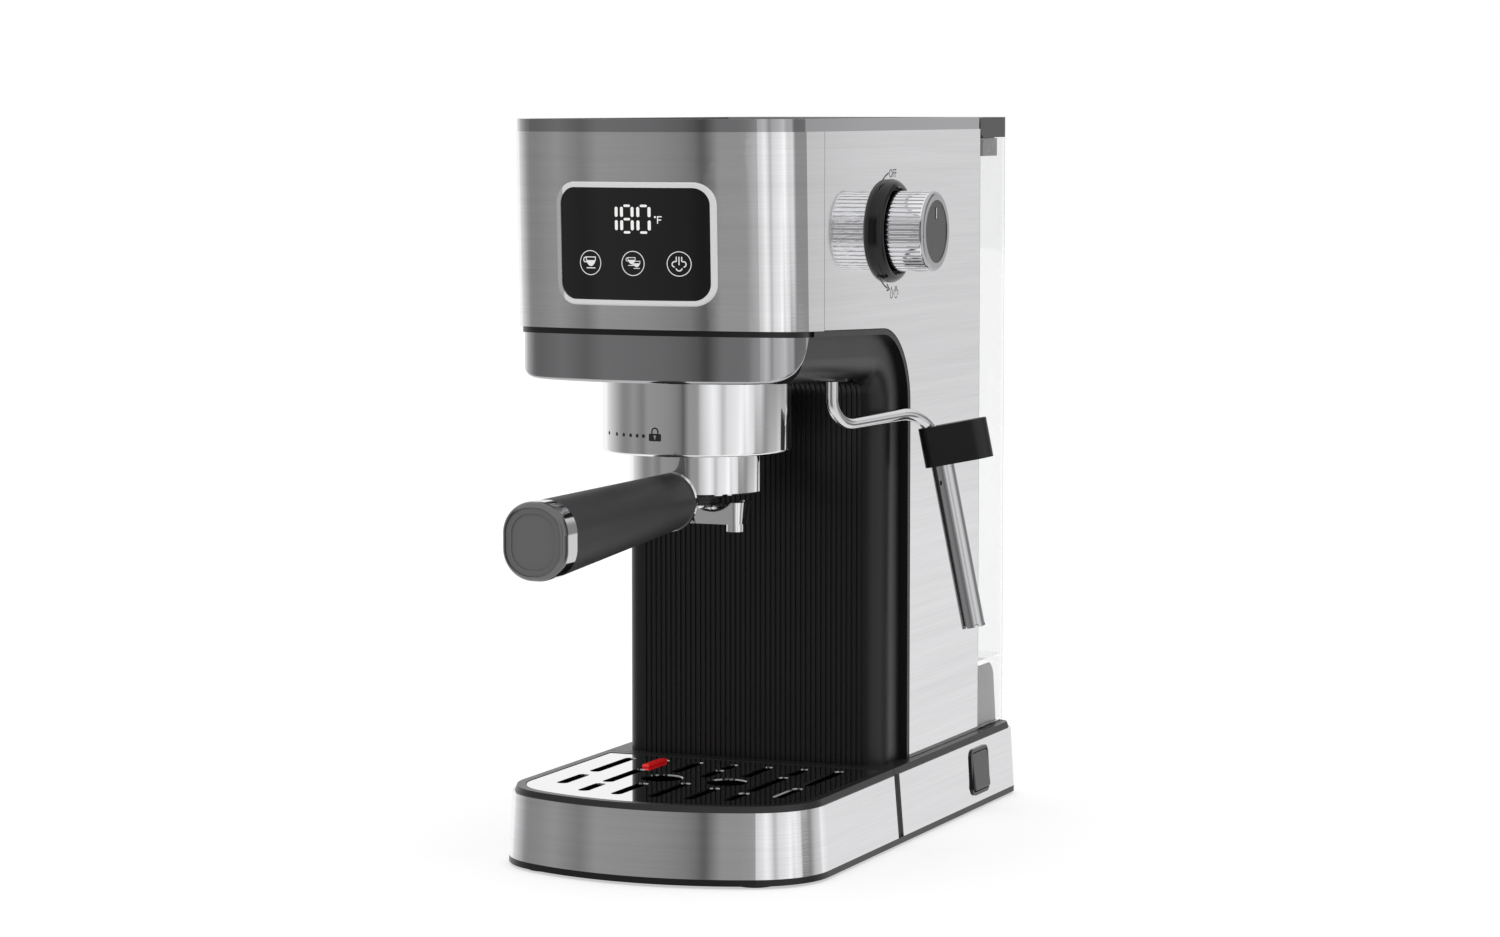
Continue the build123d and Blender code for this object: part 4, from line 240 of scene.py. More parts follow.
# ---------------------------------------------------------------- shader groups and materials
class TreeBuilder:
    """Adds nodes to a node tree and joins them."""

    def __init__(self, tree: bpy.types.NodeTree) -> None:
        """Starts on a tree."""
        self.tree = tree

    def node(self, kind: str, **settings: object) -> bpy.types.Node:
        """Adds a node and sets its properties.

        Args:
            kind: Blender's type name of the node.
            **settings: Properties to set on it.

        Returns:
            The new node.
        """
        made = self.tree.nodes.new(kind)
        for label, value in settings.items():
            setattr(made, label, value)
        return made

    def feed(self, value: object, end: Socket) -> None:
        """Joins an output to an input, or sets the input's plain value.

        Args:
            value: An output or a plain value.
            end: The input.
        """
        if isinstance(value, Socket):
            self.tree.links.new(value, end)
        else:
            end.default_value = value

    def maths(self, operation: str, *values: Socket | float) -> Socket:
        """Adds a maths node.

        Args:
            operation: The operation's name.
            *values: Sockets or numbers.

        Returns:
            The node's output.
        """
        made = self.node("ShaderNodeMath", operation=operation)
        for index, value in enumerate(values):
            self.feed(value, made.inputs[index])
        return made.outputs[0]

    def between(self, value: Socket, start: float, end: float, low: float = 0.0) -> Socket:
        """Adds a value that runs up to 1 between two places.

        Args:
            value: The value to place.
            start: Where it is at its low end.
            end: Where it is 1.
            low: What it is at the low end.

        Returns:
            The new value.
        """
        made = self.node("ShaderNodeMapRange")
        made.inputs["From Min"].default_value = start
        made.inputs["From Max"].default_value = end
        made.inputs["To Min"].default_value = low
        self.feed(value, made.inputs["Value"])
        return made.outputs["Result"]

    def blend(self, share: object, first: object, second: object, kind: str = "MIX") -> Socket:
        """Adds a mix of two colours.

        Args:
            share: How much of the second.
            first: The first colour.
            second: The second colour.
            kind: The kind of mix.

        Returns:
            The mixed colour.
        """
        made = self.node("ShaderNodeMix", data_type="RGBA", blend_type=kind)
        for label, value in (("Factor", share), ("A", first), ("B", second)):
            self.feed(value, made.inputs[label])
        return made.outputs["Result"]

    def light(self, colour: object, strength: Socket | float = 1.0) -> Socket:
        """Adds a background light.

        Args:
            colour: Its colour.
            strength: Its strength.

        Returns:
            The light.
        """
        made = self.node("ShaderNodeBackground")
        self.feed(colour, made.inputs["Color"])
        self.feed(strength, made.inputs["Strength"])
        return made.outputs[0]

    def either(self, choice: Socket, first: Socket, second: Socket) -> Socket:
        """Adds a mix of two lights.

        Args:
            choice: 0 for the first, 1 for the second.
            first: The first light.
            second: The second light.

        Returns:
            The mixed light.
        """
        made = self.node("ShaderNodeMixShader")
        for index, value in enumerate((choice, first, second)):
            self.feed(value, made.inputs[index])
        return made.outputs[0]

    def seen(self) -> Socket:
        """Adds a mask of what is seen directly or through clear plastic."""
        path = self.node("ShaderNodeLightPath")
        return self.maths("MAXIMUM", path.outputs["Is Camera Ray"], path.outputs["Is Transmission Ray"])


class GroupBuilder(TreeBuilder):
    """Builds one shader node group with named inputs and outputs."""

    def __init__(self, name: str, inputs: dict[str, float], outputs: tuple[str, ...]) -> None:
        """Starts a group.

        Args:
            name: Name of the group.
            inputs: Name and default of each value input.
            outputs: Names of the value outputs.
        """
        super().__init__(bpy.data.node_groups.new(name, "ShaderNodeTree"))
        for label, default in inputs.items():
            socket = self.tree.interface.new_socket(label, in_out="INPUT", socket_type="NodeSocketFloat")
            socket.default_value = default
        for label in outputs:
            self.tree.interface.new_socket(label, in_out="OUTPUT", socket_type="NodeSocketFloat")
        self.source = self.node("NodeGroupInput")
        self.sink = self.node("NodeGroupOutput")
        self.place = self.node("ShaderNodeTexCoord")

    def noise(self, stretch: tuple[float, float, float], detail: float) -> Socket:
        """Adds a noise texture in the object's own coordinates.

        Args:
            stretch: Waves per metre along X, Y and Z.
            detail: Octaves of finer detail.

        Returns:
            The noise value.
        """
        mapping = self.node("ShaderNodeMapping")
        mapping.inputs["Scale"].default_value = stretch
        self.feed(self.place.outputs["Object"], mapping.inputs["Vector"])
        cloud = self.node("ShaderNodeTexNoise")
        cloud.inputs["Scale"].default_value = 1.0
        cloud.inputs["Detail"].default_value = detail
        self.feed(mapping.outputs["Vector"], cloud.inputs["Vector"])
        return cloud.outputs["Fac"]

    def give(self, label: str, value: Socket) -> None:
        """Sends a value out of the group."""
        self.feed(value, self.sink.inputs[label])


def surface_group(grain: Grain) -> bpy.types.NodeTree:
    """Turns a fine and a broad noise into roughness, shade and height.

    Args:
        grain: The surface's fine detail.

    Returns:
        The finished node group.
    """
    build = GroupBuilder(grain.name, {"Roughness": 0.3}, ("Roughness", "Shade", "Height"))
    fine = build.noise(grain.fine, grain.fine_detail)
    broad = build.noise(grain.broad, grain.broad_detail)
    centred = (build.maths("SUBTRACT", cloud, 0.5) for cloud in (fine, broad))
    uneven = build.maths("ADD", *centred)
    moved = build.maths("MULTIPLY_ADD", uneven, grain.spread, 1.0)
    build.give("Roughness", build.maths("MULTIPLY", build.source.outputs["Roughness"], moved))
    build.give("Shade", build.maths("MULTIPLY_ADD", uneven, grain.tone, 1.0))
    build.give("Height", fine)
    return build.tree


class Finishing:
    """Makes each finish's material once and dresses the pieces with it."""

    def __init__(self) -> None:
        """Builds the effects that the finishes share, one node group for each kind of surface."""
        self.groups = {surface: surface_group(grain) for surface, grain in GRAINS.items()}
        self.made: dict[Finish, bpy.types.Material] = {}

    def material(self, finish: Finish) -> bpy.types.Material:
        """The material of a finish.

        Args:
            finish: The finish to look up.

        Returns:
            Its material, made at the first call.
        """
        if finish not in self.made:
            self.made[finish] = self.build(finish)
        return self.made[finish]

    def build(self, finish: Finish) -> bpy.types.Material:
        """Builds a material from a finish.

        Args:
            finish: The finish to build.

        Returns:
            The new material.
        """
        made = bpy.data.materials.new(finish.name)
        made.use_nodes = True
        build = TreeBuilder(made.node_tree)
        shader = made.node_tree.nodes["Principled BSDF"]
        plain = {
            "Metallic": finish.metallic,
            "Specular IOR Level": finish.specular,
            "Coat Weight": finish.coat,
            "Coat Roughness": COAT_ROUGHNESS,
            "Transmission Weight": finish.transmission,
            "IOR": finish.index,
        }
        for label, value in plain.items():
            shader.inputs[label].default_value = value
        effect = build.node("ShaderNodeGroup", node_tree=self.groups[finish.surface])
        effect.inputs["Roughness"].default_value = finish.roughness
        build.feed(effect.outputs["Roughness"], shader.inputs["Roughness"])
        shade = effect.outputs["Shade"]
        # Painted shade: a finish with a split is darker or lighter on one side of a plane.
        if finish.split:
            shade = self.add_painted_shade(build, shade, finish.split)
        colour = (*finish.colour, 1.0)
        build.feed(build.blend(1.0, colour, shade, "MULTIPLY"), shader.inputs["Base Color"])
        bump = build.node("ShaderNodeBump")
        bump.inputs["Strength"].default_value = finish.depth
        bump.inputs["Distance"].default_value = BUMP_DISTANCE
        build.feed(effect.outputs["Height"], bump.inputs["Height"])
        build.feed(bump.outputs["Normal"], shader.inputs["Normal"])
        if finish.glow:
            shader.inputs["Emission Color"].default_value = colour
            shader.inputs["Emission Strength"].default_value = finish.glow
        return made

    @staticmethod
    def add_painted_shade(build: TreeBuilder, shade: Socket, split: PaintedShadeSplit) -> Socket:
        """Paints shade into a finish: changes its brightness on one side of a plane.

        Args:
            build: The material's nodes.
            shade: The brightness so far.
            split: The painted shade.

        Returns:
            The new brightness.
        """
        place = build.node("ShaderNodeTexCoord")
        axes = build.node("ShaderNodeSeparateXYZ")
        build.feed(place.outputs["Object"], axes.inputs["Vector"])
        above = build.maths("GREATER_THAN", axes.outputs[split.axis], split.place)
        return build.maths("MULTIPLY", build.between(above, 0.0, 1.0, split.share), shade)

    def dress(self, piece: bpy.types.Object, finish: Finish) -> None:
        """Gives a piece one finish all over."""
        piece.data.materials.clear()
        piece.data.materials.append(self.material(finish))

    def dress_nodes(self, nodes: dict[str, bpy.types.Object]) -> None:
        """Gives every CAD node its finish.

        Args:
            nodes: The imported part's nodes by name.
        """
        for finish, names in NODE_FINISHES.items():
            for name in names:
                if name in nodes:
                    self.dress(nodes[name], finish)
        listed = {name for names in NODE_FINISHES.values() for name in names}
        for name in sorted(set(nodes) - listed):
            LOG.warning("%s has no finish of its own", name)
            self.dress(nodes[name], COLUMN_BLACK)


# ---------------------------------------------------------------- printed and lit marks, and a hole's painted shade
class FlatShape:
    """A flat drawing in millimetres, made of overlapping or separate simple forms."""

    def __init__(self) -> None:
        """Starts an empty drawing."""
        self.mesh = bmesh.new()

    def moved(self, verts: list, matrix: Matrix) -> None:
        """Moves new vertices by a matrix."""
        bmesh.ops.transform(self.mesh, matrix=matrix, verts=verts)

    def disc(self, x: float, y: float, radius: float, segments: int = DISC_SEGMENTS) -> None:
        """Adds a filled circle."""
        place = Matrix.Translation((x, y, 0))
        bmesh.ops.create_circle(self.mesh, cap_ends=True, radius=radius, segments=segments, matrix=place)

    def bar(self, x0: float, y0: float, x1: float, y1: float, width: float) -> None:
        """Adds a round-ended stroke between two points.

        Args:
            x0: First end across.
            y0: First end up.
            x1: Second end across.
            y1: Second end up.
            width: Width of the stroke.
        """
        turn = Matrix.Rotation(math.pi / BAR_SEGMENTS, 4, "Z")
        made = bmesh.ops.create_circle(
            self.mesh, cap_ends=True, radius=width / 2, segments=BAR_SEGMENTS, matrix=turn
        )
        half = math.hypot(x1 - x0, y1 - y0) / 2
        for vert in made["verts"]:
            vert.co.x += math.copysign(half, vert.co.x)
        middle = Matrix.Translation(((x0 + x1) / 2, (y0 + y1) / 2, 0))
        self.moved(made["verts"], middle @ Matrix.Rotation(math.atan2(y1 - y0, x1 - x0), 4, "Z"))

    def arc(self, x: float, y: float, radius: float, width: float, start: float, sweep: float) -> None:
        """Adds a curved stroke.

        Args:
            x: Centre across.
            y: Centre up.
            radius: Middle radius.
            width: Width of the stroke.
            start: Start angle in degrees from the right.
            sweep: Angle that it covers in degrees.
        """
        first = math.radians(start)
        aim = Vector((math.cos(first), math.sin(first), 0))
        centre = Vector((x, y, 0))
        inner = self.mesh.verts.new(centre + aim * (radius - width / 2))
        outer = self.mesh.verts.new(centre + aim * (radius + width / 2))
        edge = self.mesh.edges.new((inner, outer))
        full = abs(sweep) >= 359.9
        bmesh.ops.spin(
            self.mesh,
            geom=[inner, outer, edge],
            cent=centre,
            axis=(0, 0, 1),
            angle=math.radians(sweep),
            steps=max(ARC_STEPS, int(abs(sweep) / ARC_PITCH)),
            use_merge=full,
        )

    def plate(self, x: float, y: float, width: float, height: float, corner: float) -> None:
        """Adds a filled rectangle with round corners.

        Args:
            x: Middle across.
            y: Middle up.
            width: Width.
            height: Height.
            corner: Radius of the corners.
        """
        made = bmesh.ops.create_grid(self.mesh, x_segments=1, y_segments=1, size=0.5)
        size = Matrix.Diagonal((width, height, 1, 1))
        self.moved(made["verts"], Matrix.Translation((x, y, 0)) @ size)
        bmesh.ops.bevel(
            self.mesh,
            geom=made["verts"],
            offset=corner,
            offset_type="OFFSET",
            segments=CORNER_SEGMENTS,
            profile=0.5,
            affect="VERTICES",
            material=-1,
        )

    def bowl(self, x: float, y: float, half: float, depth: float) -> None:
        """Adds the filled bowl of a cup, flat at the top and round below.

        Args:
            x: Middle across.
            y: Height of the flat top.
            half: Half of the width at the top.
            depth: Height of the bowl.
        """
        made = bmesh.ops.create_circle(self.mesh, cap_ends=True, radius=1.0, segments=BOWL_SEGMENTS)
        verts = made["verts"]
        for vert in verts:
            vert.co.y = min(vert.co.y, 0.0) if vert.co.y > -1e-6 else vert.co.y
            vert.co.x *= 1.0 - BOWL_TAPER * abs(vert.co.y)
        self.moved(verts, Matrix.Translation((x, y, 0)) @ Matrix.Diagonal((half, depth, 1, 1)))

    def cup(self, x: float, y: float, scale: float) -> None:
        """Adds a small cup with a rim, a handle and a saucer.

        Args:
            x: Middle of the cup across.
            y: Middle of the cup up.
            scale: Size against the plain icon.
        """
        line = CUP_LINE * scale
        for x0, y0, x1, y1 in CUP_STROKES:
            self.bar(x + x0 * scale, y + y0 * scale, x + x1 * scale, y + y1 * scale, line)
        across, up, half, depth = CUP_BOWL
        self.bowl(x + across * scale, y + up * scale, half * scale, depth * scale)
        across, up, radius, start, sweep = CUP_HANDLE
        self.arc(x + across * scale, y + up * scale, radius * scale, line, start, sweep)

    def steam(self, x: float, y: float, scale: float) -> None:
        """Adds the steam sign: three strokes over a cloud.

        Args:
            x: Middle across.
            y: Middle up.
            scale: Size against the plain icon.
        """
        line = STEAM_LINE * scale
        for across, low in STEAM_STROKES:
            self.bar(x + across * scale, y + STEAM_TOP * scale, x + across * scale, y + low * scale, line)
        for across, up, radius, start, sweep in STEAM_CLOUD:
            self.arc(x + across * scale, y + up * scale, radius * scale, line, start, sweep)

    def write(self, text: str, x: float, y: float, size: float) -> None:
        """Adds a short printed word.

        Args:
            text: The word.
            x: Left edge.
            y: Foot of the letters.
            size: Type size in millimetres.
        """
        curve = bpy.data.curves.new(f"type_{text[:1]}", "FONT")
        curve.body = text
        curve.size = size
        curve.resolution_u = 3
        holder = bpy.data.objects.new(curve.name, curve)
        bpy.context.scene.collection.objects.link(holder)
        graph = bpy.context.evaluated_depsgraph_get()
        flat = bpy.data.meshes.new_from_object(holder.evaluated_get(graph))
        flat.transform(Matrix.Translation((x, y, 0)))
        self.mesh.from_mesh(flat)
        bpy.data.objects.remove(holder)
        bpy.data.curves.remove(curve)
        bpy.data.meshes.remove(flat)

    def sliced(self, pitch: float) -> None:
        """Cuts the drawing into narrow strips so that it can follow a curve.

        Args:
            pitch: Width of a strip.
        """
        xs = [vert.co.x for vert in self.mesh.verts]
        station = min(xs) + pitch
        while station < max(xs):
            geom = list(self.mesh.verts) + list(self.mesh.edges) + list(self.mesh.faces)
            bmesh.ops.bisect_plane(self.mesh, geom=geom, plane_co=(station, 0, 0), plane_no=(1, 0, 0))
            station += pitch


class Lay(Enum):
    """The ways a flat drawing is laid on the machine."""

    FRONT = "front"
    RIGHT = "right"
    ROUND = "round"


@dataclass
class Carrier:
    """A CAD surface that marks are printed on.

    Args:
        node: The CAD node.
        body: The body that it rides on.
        lay: How drawings are laid on it.
        axis: Upright axis of a round surface, in metres.
        lift: How far the ink stands off the surface, in metres.
    """

    node: str
    body: str
    lay: Lay
    axis: tuple[float, float] = (0.0, 0.0)
    lift: float = INK_LIFT
    tree: BVHTree = field(init=False)

    def __post_init__(self) -> None:
        """Reads the node's surface."""
        mesh = frame["nodes"][self.node].data
        corners = [vert.co for vert in mesh.vertices]
        self.tree = BVHTree.FromPolygons(corners, [tuple(face.vertices) for face in mesh.polygons])

    def ray(self, across: float, up: float) -> tuple[Vector, Vector]:
        """The line that lays one point of a drawing on the surface.

        Args:
            across: Distance across the drawing, or round the axis in degrees for a round surface.
            up: Height.

        Returns:
            Start and direction, in metres.
        """
        if self.lay is Lay.FRONT:
            return Vector((across * MM, -RAY_REACH, up * MM)), Vector((0, 1, 0))
        if self.lay is Lay.RIGHT:
            return Vector((RAY_REACH, across * MM, up * MM)), Vector((-1, 0, 0))
        turn = math.radians(across)
        aim = Vector((math.sin(turn), -math.cos(turn), 0))
        return Vector((*self.axis, up * MM)) + aim * ROUND_REACH, -aim

    def print(self, drawing: FlatShape, name: str, pitch: float) -> bpy.types.Object:
        """Lays a drawing on the surface as a thin layer.

        Args:
            drawing: The flat drawing, which is used up.
            name: Name of the new piece.
            pitch: Strip width for following the curve.

        Returns:
            The printed piece.
        """
        mesh = drawing.mesh
        if pitch:
            drawing.sliced(pitch)
        for vert in mesh.verts:
            start, aim = self.ray(vert.co.x, vert.co.y)
            spot, _, _, _ = self.tree.ray_cast(start, aim)
            if spot is None:
                raise ValueError(f"{name} doesn't reach {self.node}")
            vert.co = spot - aim * self.lift
        bmesh.ops.recalc_face_normals(mesh, faces=mesh.faces)
        outward = -self.ray(0, 0)[1] if self.lay is not Lay.ROUND else None
        for face in mesh.faces:
            face.normal_update()
            away = outward or (face.calc_center_median() - Vector((*self.axis, 0))) * Vector((1, 1, 0))
            if face.normal.dot(away) < 0:
                face.normal_flip()
        data = bpy.data.meshes.new(name)
        mesh.to_mesh(data)
        mesh.free()
        piece = bpy.data.objects.new(name, data)
        bpy.context.scene.collection.objects.link(piece)
        layer = piece.modifiers.new("ink_layer", "SOLIDIFY")
        layer.thickness = INK_LIFT
        layer.offset = 1.0
        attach(piece, self.body)
        return piece


@dataclass
class DisplayMarks:
    """Lit figures and touch signs of the display, drawn on its curved glass. Sizes in millimetres."""

    finishing: Finishing
    figures_raise: float = 10.0
    signs_drop: float = 7.8
    shift: float = 0.7
    icon_spacing: float = 19.5
    ring_radius: float = 4.9
    ring_line: float = 0.32
    upright: float = 1.35
    level: float = 1.0
    level_inset: float = 1.4
    level_heights: tuple[float, float, float] = (5.4, 0.0, -5.3)
    upright_spans: tuple[tuple[float, float], ...] = ((4.3, 1.55), (-1.1, -3.8))
    figure_pitch: float = 2.0
    sign_pitch: float = 1.5
    unit_shift: float = 10.9
    unit_line: float = 0.44
    unit_dot: tuple[float, float, float] = (-1.1, 0.95, 0.42)
    unit_strokes: tuple[tuple[float, float, float, float], ...] = (
        (0, 1.1, 0, -1.5),
        (0, 1.1, 1.6, 1.1),
        (0, -0.2, 1.35, -0.2),
    )
    cups: tuple[tuple[float, float, float], ...] = ((-0.7, 0.7, 0.72), (1.5, -0.6, 0.66))
    figures: tuple[tuple[float, float, str], ...] = ((-7.1, -7.1, "1"), (-4.7, 0.0, "8"), (2.5, 7.35, "0"))

    def middle(self) -> float:
        """Height of the middle of the glass."""
        low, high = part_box("display_glass")
        return (low.z + high.z) / 2 / MM

    def figure(self, drawing: FlatShape, left: float, right: float, sign: str) -> None:
        """Draws one seven-bar figure.

        Args:
            drawing: The drawing to add to.
            left: Station of the left bars.
            right: Station of the right bars.
            sign: The figure.
        """
        middle = self.middle() + self.figures_raise
        sides = (right,) if sign == "1" else (left, right)
        for x in sides:
            for start, end in self.upright_spans:
                drawing.bar(x, middle + start, x, middle + end, self.upright)
        top, centre, low = (middle + height for height in self.level_heights)
        for z in {"1": (), "8": (top, centre, low), "0": (top, low)}[sign]:
            drawing.bar(left + self.level_inset, z, right - self.level_inset, z, self.level)

    def build(self) -> list[bpy.types.Object]:
        """Makes the figures, the unit and the three signs.

        Returns:
            The new pieces.
        """
        glass = Carrier("display_glass", "machine", Lay.FRONT)
        figures = FlatShape()
        for left, right, sign in self.figures:
            self.figure(figures, left + self.shift, right + self.shift, sign)
        unit = FlatShape()
        foot = self.shift + self.unit_shift
        unit_z = self.middle() + self.figures_raise
        across, up, radius = self.unit_dot
        unit.disc(foot + across, unit_z + up, radius)
        for x0, z0, x1, z1 in self.unit_strokes:
            unit.bar(foot + x0, unit_z + z0, foot + x1, unit_z + z1, self.unit_line)
        pieces = [
            glass.print(figures, "display_figures", self.figure_pitch),
            glass.print(unit, "display_unit", 0.0),
        ]
        for piece in pieces:
            self.finishing.dress(piece, LIT_MARK)
        signs = FlatShape()
        sign_z = self.middle() - self.signs_drop
        for place in (-1, 0, 1):
            x = self.shift + place * self.icon_spacing
            signs.arc(x, sign_z, self.ring_radius, self.ring_line, 0, 360)
        signs.cup(self.shift - self.icon_spacing, sign_z, 1.0)
        for across, up, scale in self.cups:
            signs.cup(self.shift + across, sign_z + up, scale)
        signs.steam(self.shift + self.icon_spacing, sign_z, 1.0)
        touch = glass.print(signs, "display_signs", self.sign_pitch)
        self.finishing.dress(touch, DIM_MARK)
        pieces.append(touch)
        return pieces


@dataclass
class KnobMarks:
    """Printing round the steam knob on the right side panel. Sizes in millimetres, across to the rear."""

    finishing: Finishing
    arc_shift: float = 4.7
    arc_radius: float = 25.2
    arc_start: float = 103.0
    arc_sweep: float = 152.0
    line: float = 0.75
    barb_start: tuple[float, float] = (2.2, -0.4)
    barb_end: tuple[float, float] = (-0.6, 0.4)
    barb_spread: float = 1.3
    word_size: float = 5.2
    word_shift: float = -0.5
    word_raise: float = 22.6
    sign_shift: float = 5.9
    sign_drop: float = 26.3
    steam_shift: float = 2.4
    steam_scale: float = 0.9
    drop_shift: float = -3.0
    drop_line: float = 0.4
    drop_arc: tuple[float, float, float, float] = (-0.9, 1.5, 130, 280)
    drop_side: float = 1.0
    drop_span: tuple[float, float] = (0.3, 2.4)
    pointer_reach: tuple[float, float] = (5.8, 9.6)
    pointer_line: float = 0.8

    def build(self) -> list[bpy.types.Object]:
        """Makes the arrow, the word, the steam sign and the knob's white pointer.

        Returns:
            The new pieces.
        """
        low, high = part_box("knob_bezel")
        centre = Vector(((low.y + high.y) / 2 / MM, (low.z + high.z) / 2 / MM))
        return [self.printing(centre), self.pointer(centre)]

    def pointer(self, centre: Vector) -> bpy.types.Object:
        """Makes the white line on the knob's raised pointer.

        Args:
            centre: The knob's axis across and up.

        Returns:
            The new piece.
        """
        face = Carrier("knob_face", "steam_knob", Lay.RIGHT)
        drawing = FlatShape()
        near, far = self.pointer_reach
        drawing.bar(centre.x, centre.y + near, centre.x, centre.y + far, self.pointer_line)
        piece = face.print(drawing, "knob_pointer", 0.0)
        self.finishing.dress(piece, WHITE_INK)
        return piece

    def printing(self, centre: Vector) -> bpy.types.Object:
        """Makes the arrow, the word and the steam sign on the panel.

        Args:
            centre: The knob's axis across and up.

        Returns:
            The new piece.
        """
        panel = Carrier("side_panel_right", "machine", Lay.RIGHT)
        drawing = FlatShape()
        middle = centre.x + self.arc_shift
        drawing.arc(middle, centre.y, self.arc_radius, self.line, self.arc_start, self.arc_sweep)
        tip = math.radians(self.arc_start + self.arc_sweep)
        x = middle + self.arc_radius * math.cos(tip)
        z = centre.y + self.arc_radius * math.sin(tip)
        back, drop = self.barb_start
        ahead, rise = self.barb_end
        for side in (-1, 1):
            drawing.bar(x + back, z + drop, x + ahead, z + side * self.barb_spread + rise, self.line)
        drawing.write("OFF", centre.x + self.word_shift, centre.y + self.word_raise, self.word_size)
        sign_y = centre.x + self.sign_shift
        sign_z = centre.y - self.sign_drop
        drawing.steam(sign_y + self.steam_shift, sign_z, self.steam_scale)
        drop_y = sign_y + self.drop_shift
        up, radius, start, sweep = self.drop_arc
        drawing.arc(drop_y, sign_z + up, radius, self.drop_line, start, sweep)
        foot, top = self.drop_span
        for side in (-self.drop_side, self.drop_side):
            drawing.bar(drop_y + side, sign_z + foot, drop_y, sign_z + top, self.drop_line)
        piece = panel.print(drawing, "knob_printing", 0.0)
        self.finishing.dress(piece, GREY_INK)
        return piece


@dataclass
class LockMarks:
    """Padlock and run of dots printed on the group's shroud. Across is in degrees from the front."""

    finishing: Finishing
    raise_from_foot: float = 8.0
    dots_raise: float = 0.4
    dots: tuple[float, ...] = (-43.9, -33.8, -26.7, -20.6, -15.4, -10.7)
    dot_size: float = 1.6
    lock_angle: float = -2.8
    lock_width: float = 5.6
    lock_height: float = 3.1
    lock_corner: float = 0.45
    shackle_radius: float = 1.35
    shackle_raise: float = 0.95
    shackle_foot: float = 0.1
    shackle_line: float = 0.62
    key_disc: tuple[float, float] = (0.35, 0.55)
    key_slot: tuple[float, float, float] = (0.2, -0.65, 0.42)
    key_lift: float = 0.00006
    pitch: float = 0.8
    segments: int = 12

    def build(self) -> list[bpy.types.Object]:
        """Makes the padlock and the dots.

        Returns:
            The new pieces.
        """
        low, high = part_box("group_shroud")
        radius = (high.x - low.x) / 2 / MM
        per_mm = math.degrees(1 / radius)
        axis = ((low.x + high.x) / 2, (low.y + high.y) / 2)
        shroud = Carrier("group_shroud", "machine", Lay.ROUND, axis)
        height = low.z / MM + self.raise_from_foot
        drawing = FlatShape()
        for angle in self.dots:
            drawing.disc(angle / per_mm, height + self.dots_raise, self.dot_size / 2, self.segments)
        middle = self.lock_angle / per_mm
        drawing.plate(middle, height, self.lock_width, self.lock_height, self.lock_corner)
        top = height + self.lock_height / 2
        bend, foot = top + self.shackle_raise, top + self.shackle_foot
        drawing.arc(middle, bend, self.shackle_radius, self.shackle_line, 0, 180)
        for side in (-self.shackle_radius, self.shackle_radius):
            drawing.bar(middle + side, bend, middle + side, foot, self.shackle_line)
        drawing.sliced(self.pitch)
        drawing.moved(list(drawing.mesh.verts), Matrix.Diagonal((per_mm, 1, 1, 1)))
        piece = shroud.print(drawing, "lock_printing", 0.0)
        self.finishing.dress(piece, INK)
        hole = FlatShape()
        up, radius = self.key_disc
        hole.disc(middle, height + up, radius, self.segments)
        slot_top, slot_foot, slot_width = self.key_slot
        hole.bar(middle, height + slot_top, middle, height + slot_foot, slot_width)
        hole.moved(list(hole.mesh.verts), Matrix.Diagonal((per_mm, 1, 1, 1)))
        shroud.lift = self.key_lift
        keyhole = shroud.print(hole, "lock_keyhole", 0.0)
        self.finishing.dress(keyhole, CHROME)
        return [piece, keyhole]


@dataclass
class SleeveHoleShade:
    """Painted shade of an air hole: a dark mark on the front of the frothing sleeve. Millimetres from the
    sleeve's upper left.
    """

    finishing: Finishing
    across: float = 6.0
    down: float = 8.3
    width: float = 1.1
    height: float = 1.0

    def build(self) -> list[bpy.types.Object]:
        """Makes the painted shade of the hole's mouth.

        Returns:
            The new piece.
        """
        low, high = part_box("froth_sleeve")
        x = low.x / MM + self.across
        z = high.z / MM - self.down
        drawing = FlatShape()
        drawing.bar(x, z - self.height / 2, x, z + self.height / 2, self.width)
        sleeve = Carrier("froth_sleeve", "froth_sleeve", Lay.FRONT)
        piece = sleeve.print(drawing, "sleeve_hole_painted_shade", 0.0)
        # Painted shade: black ink stands in for the shaded inside of the air hole.
        self.finishing.dress(piece, INK)
        return [piece]


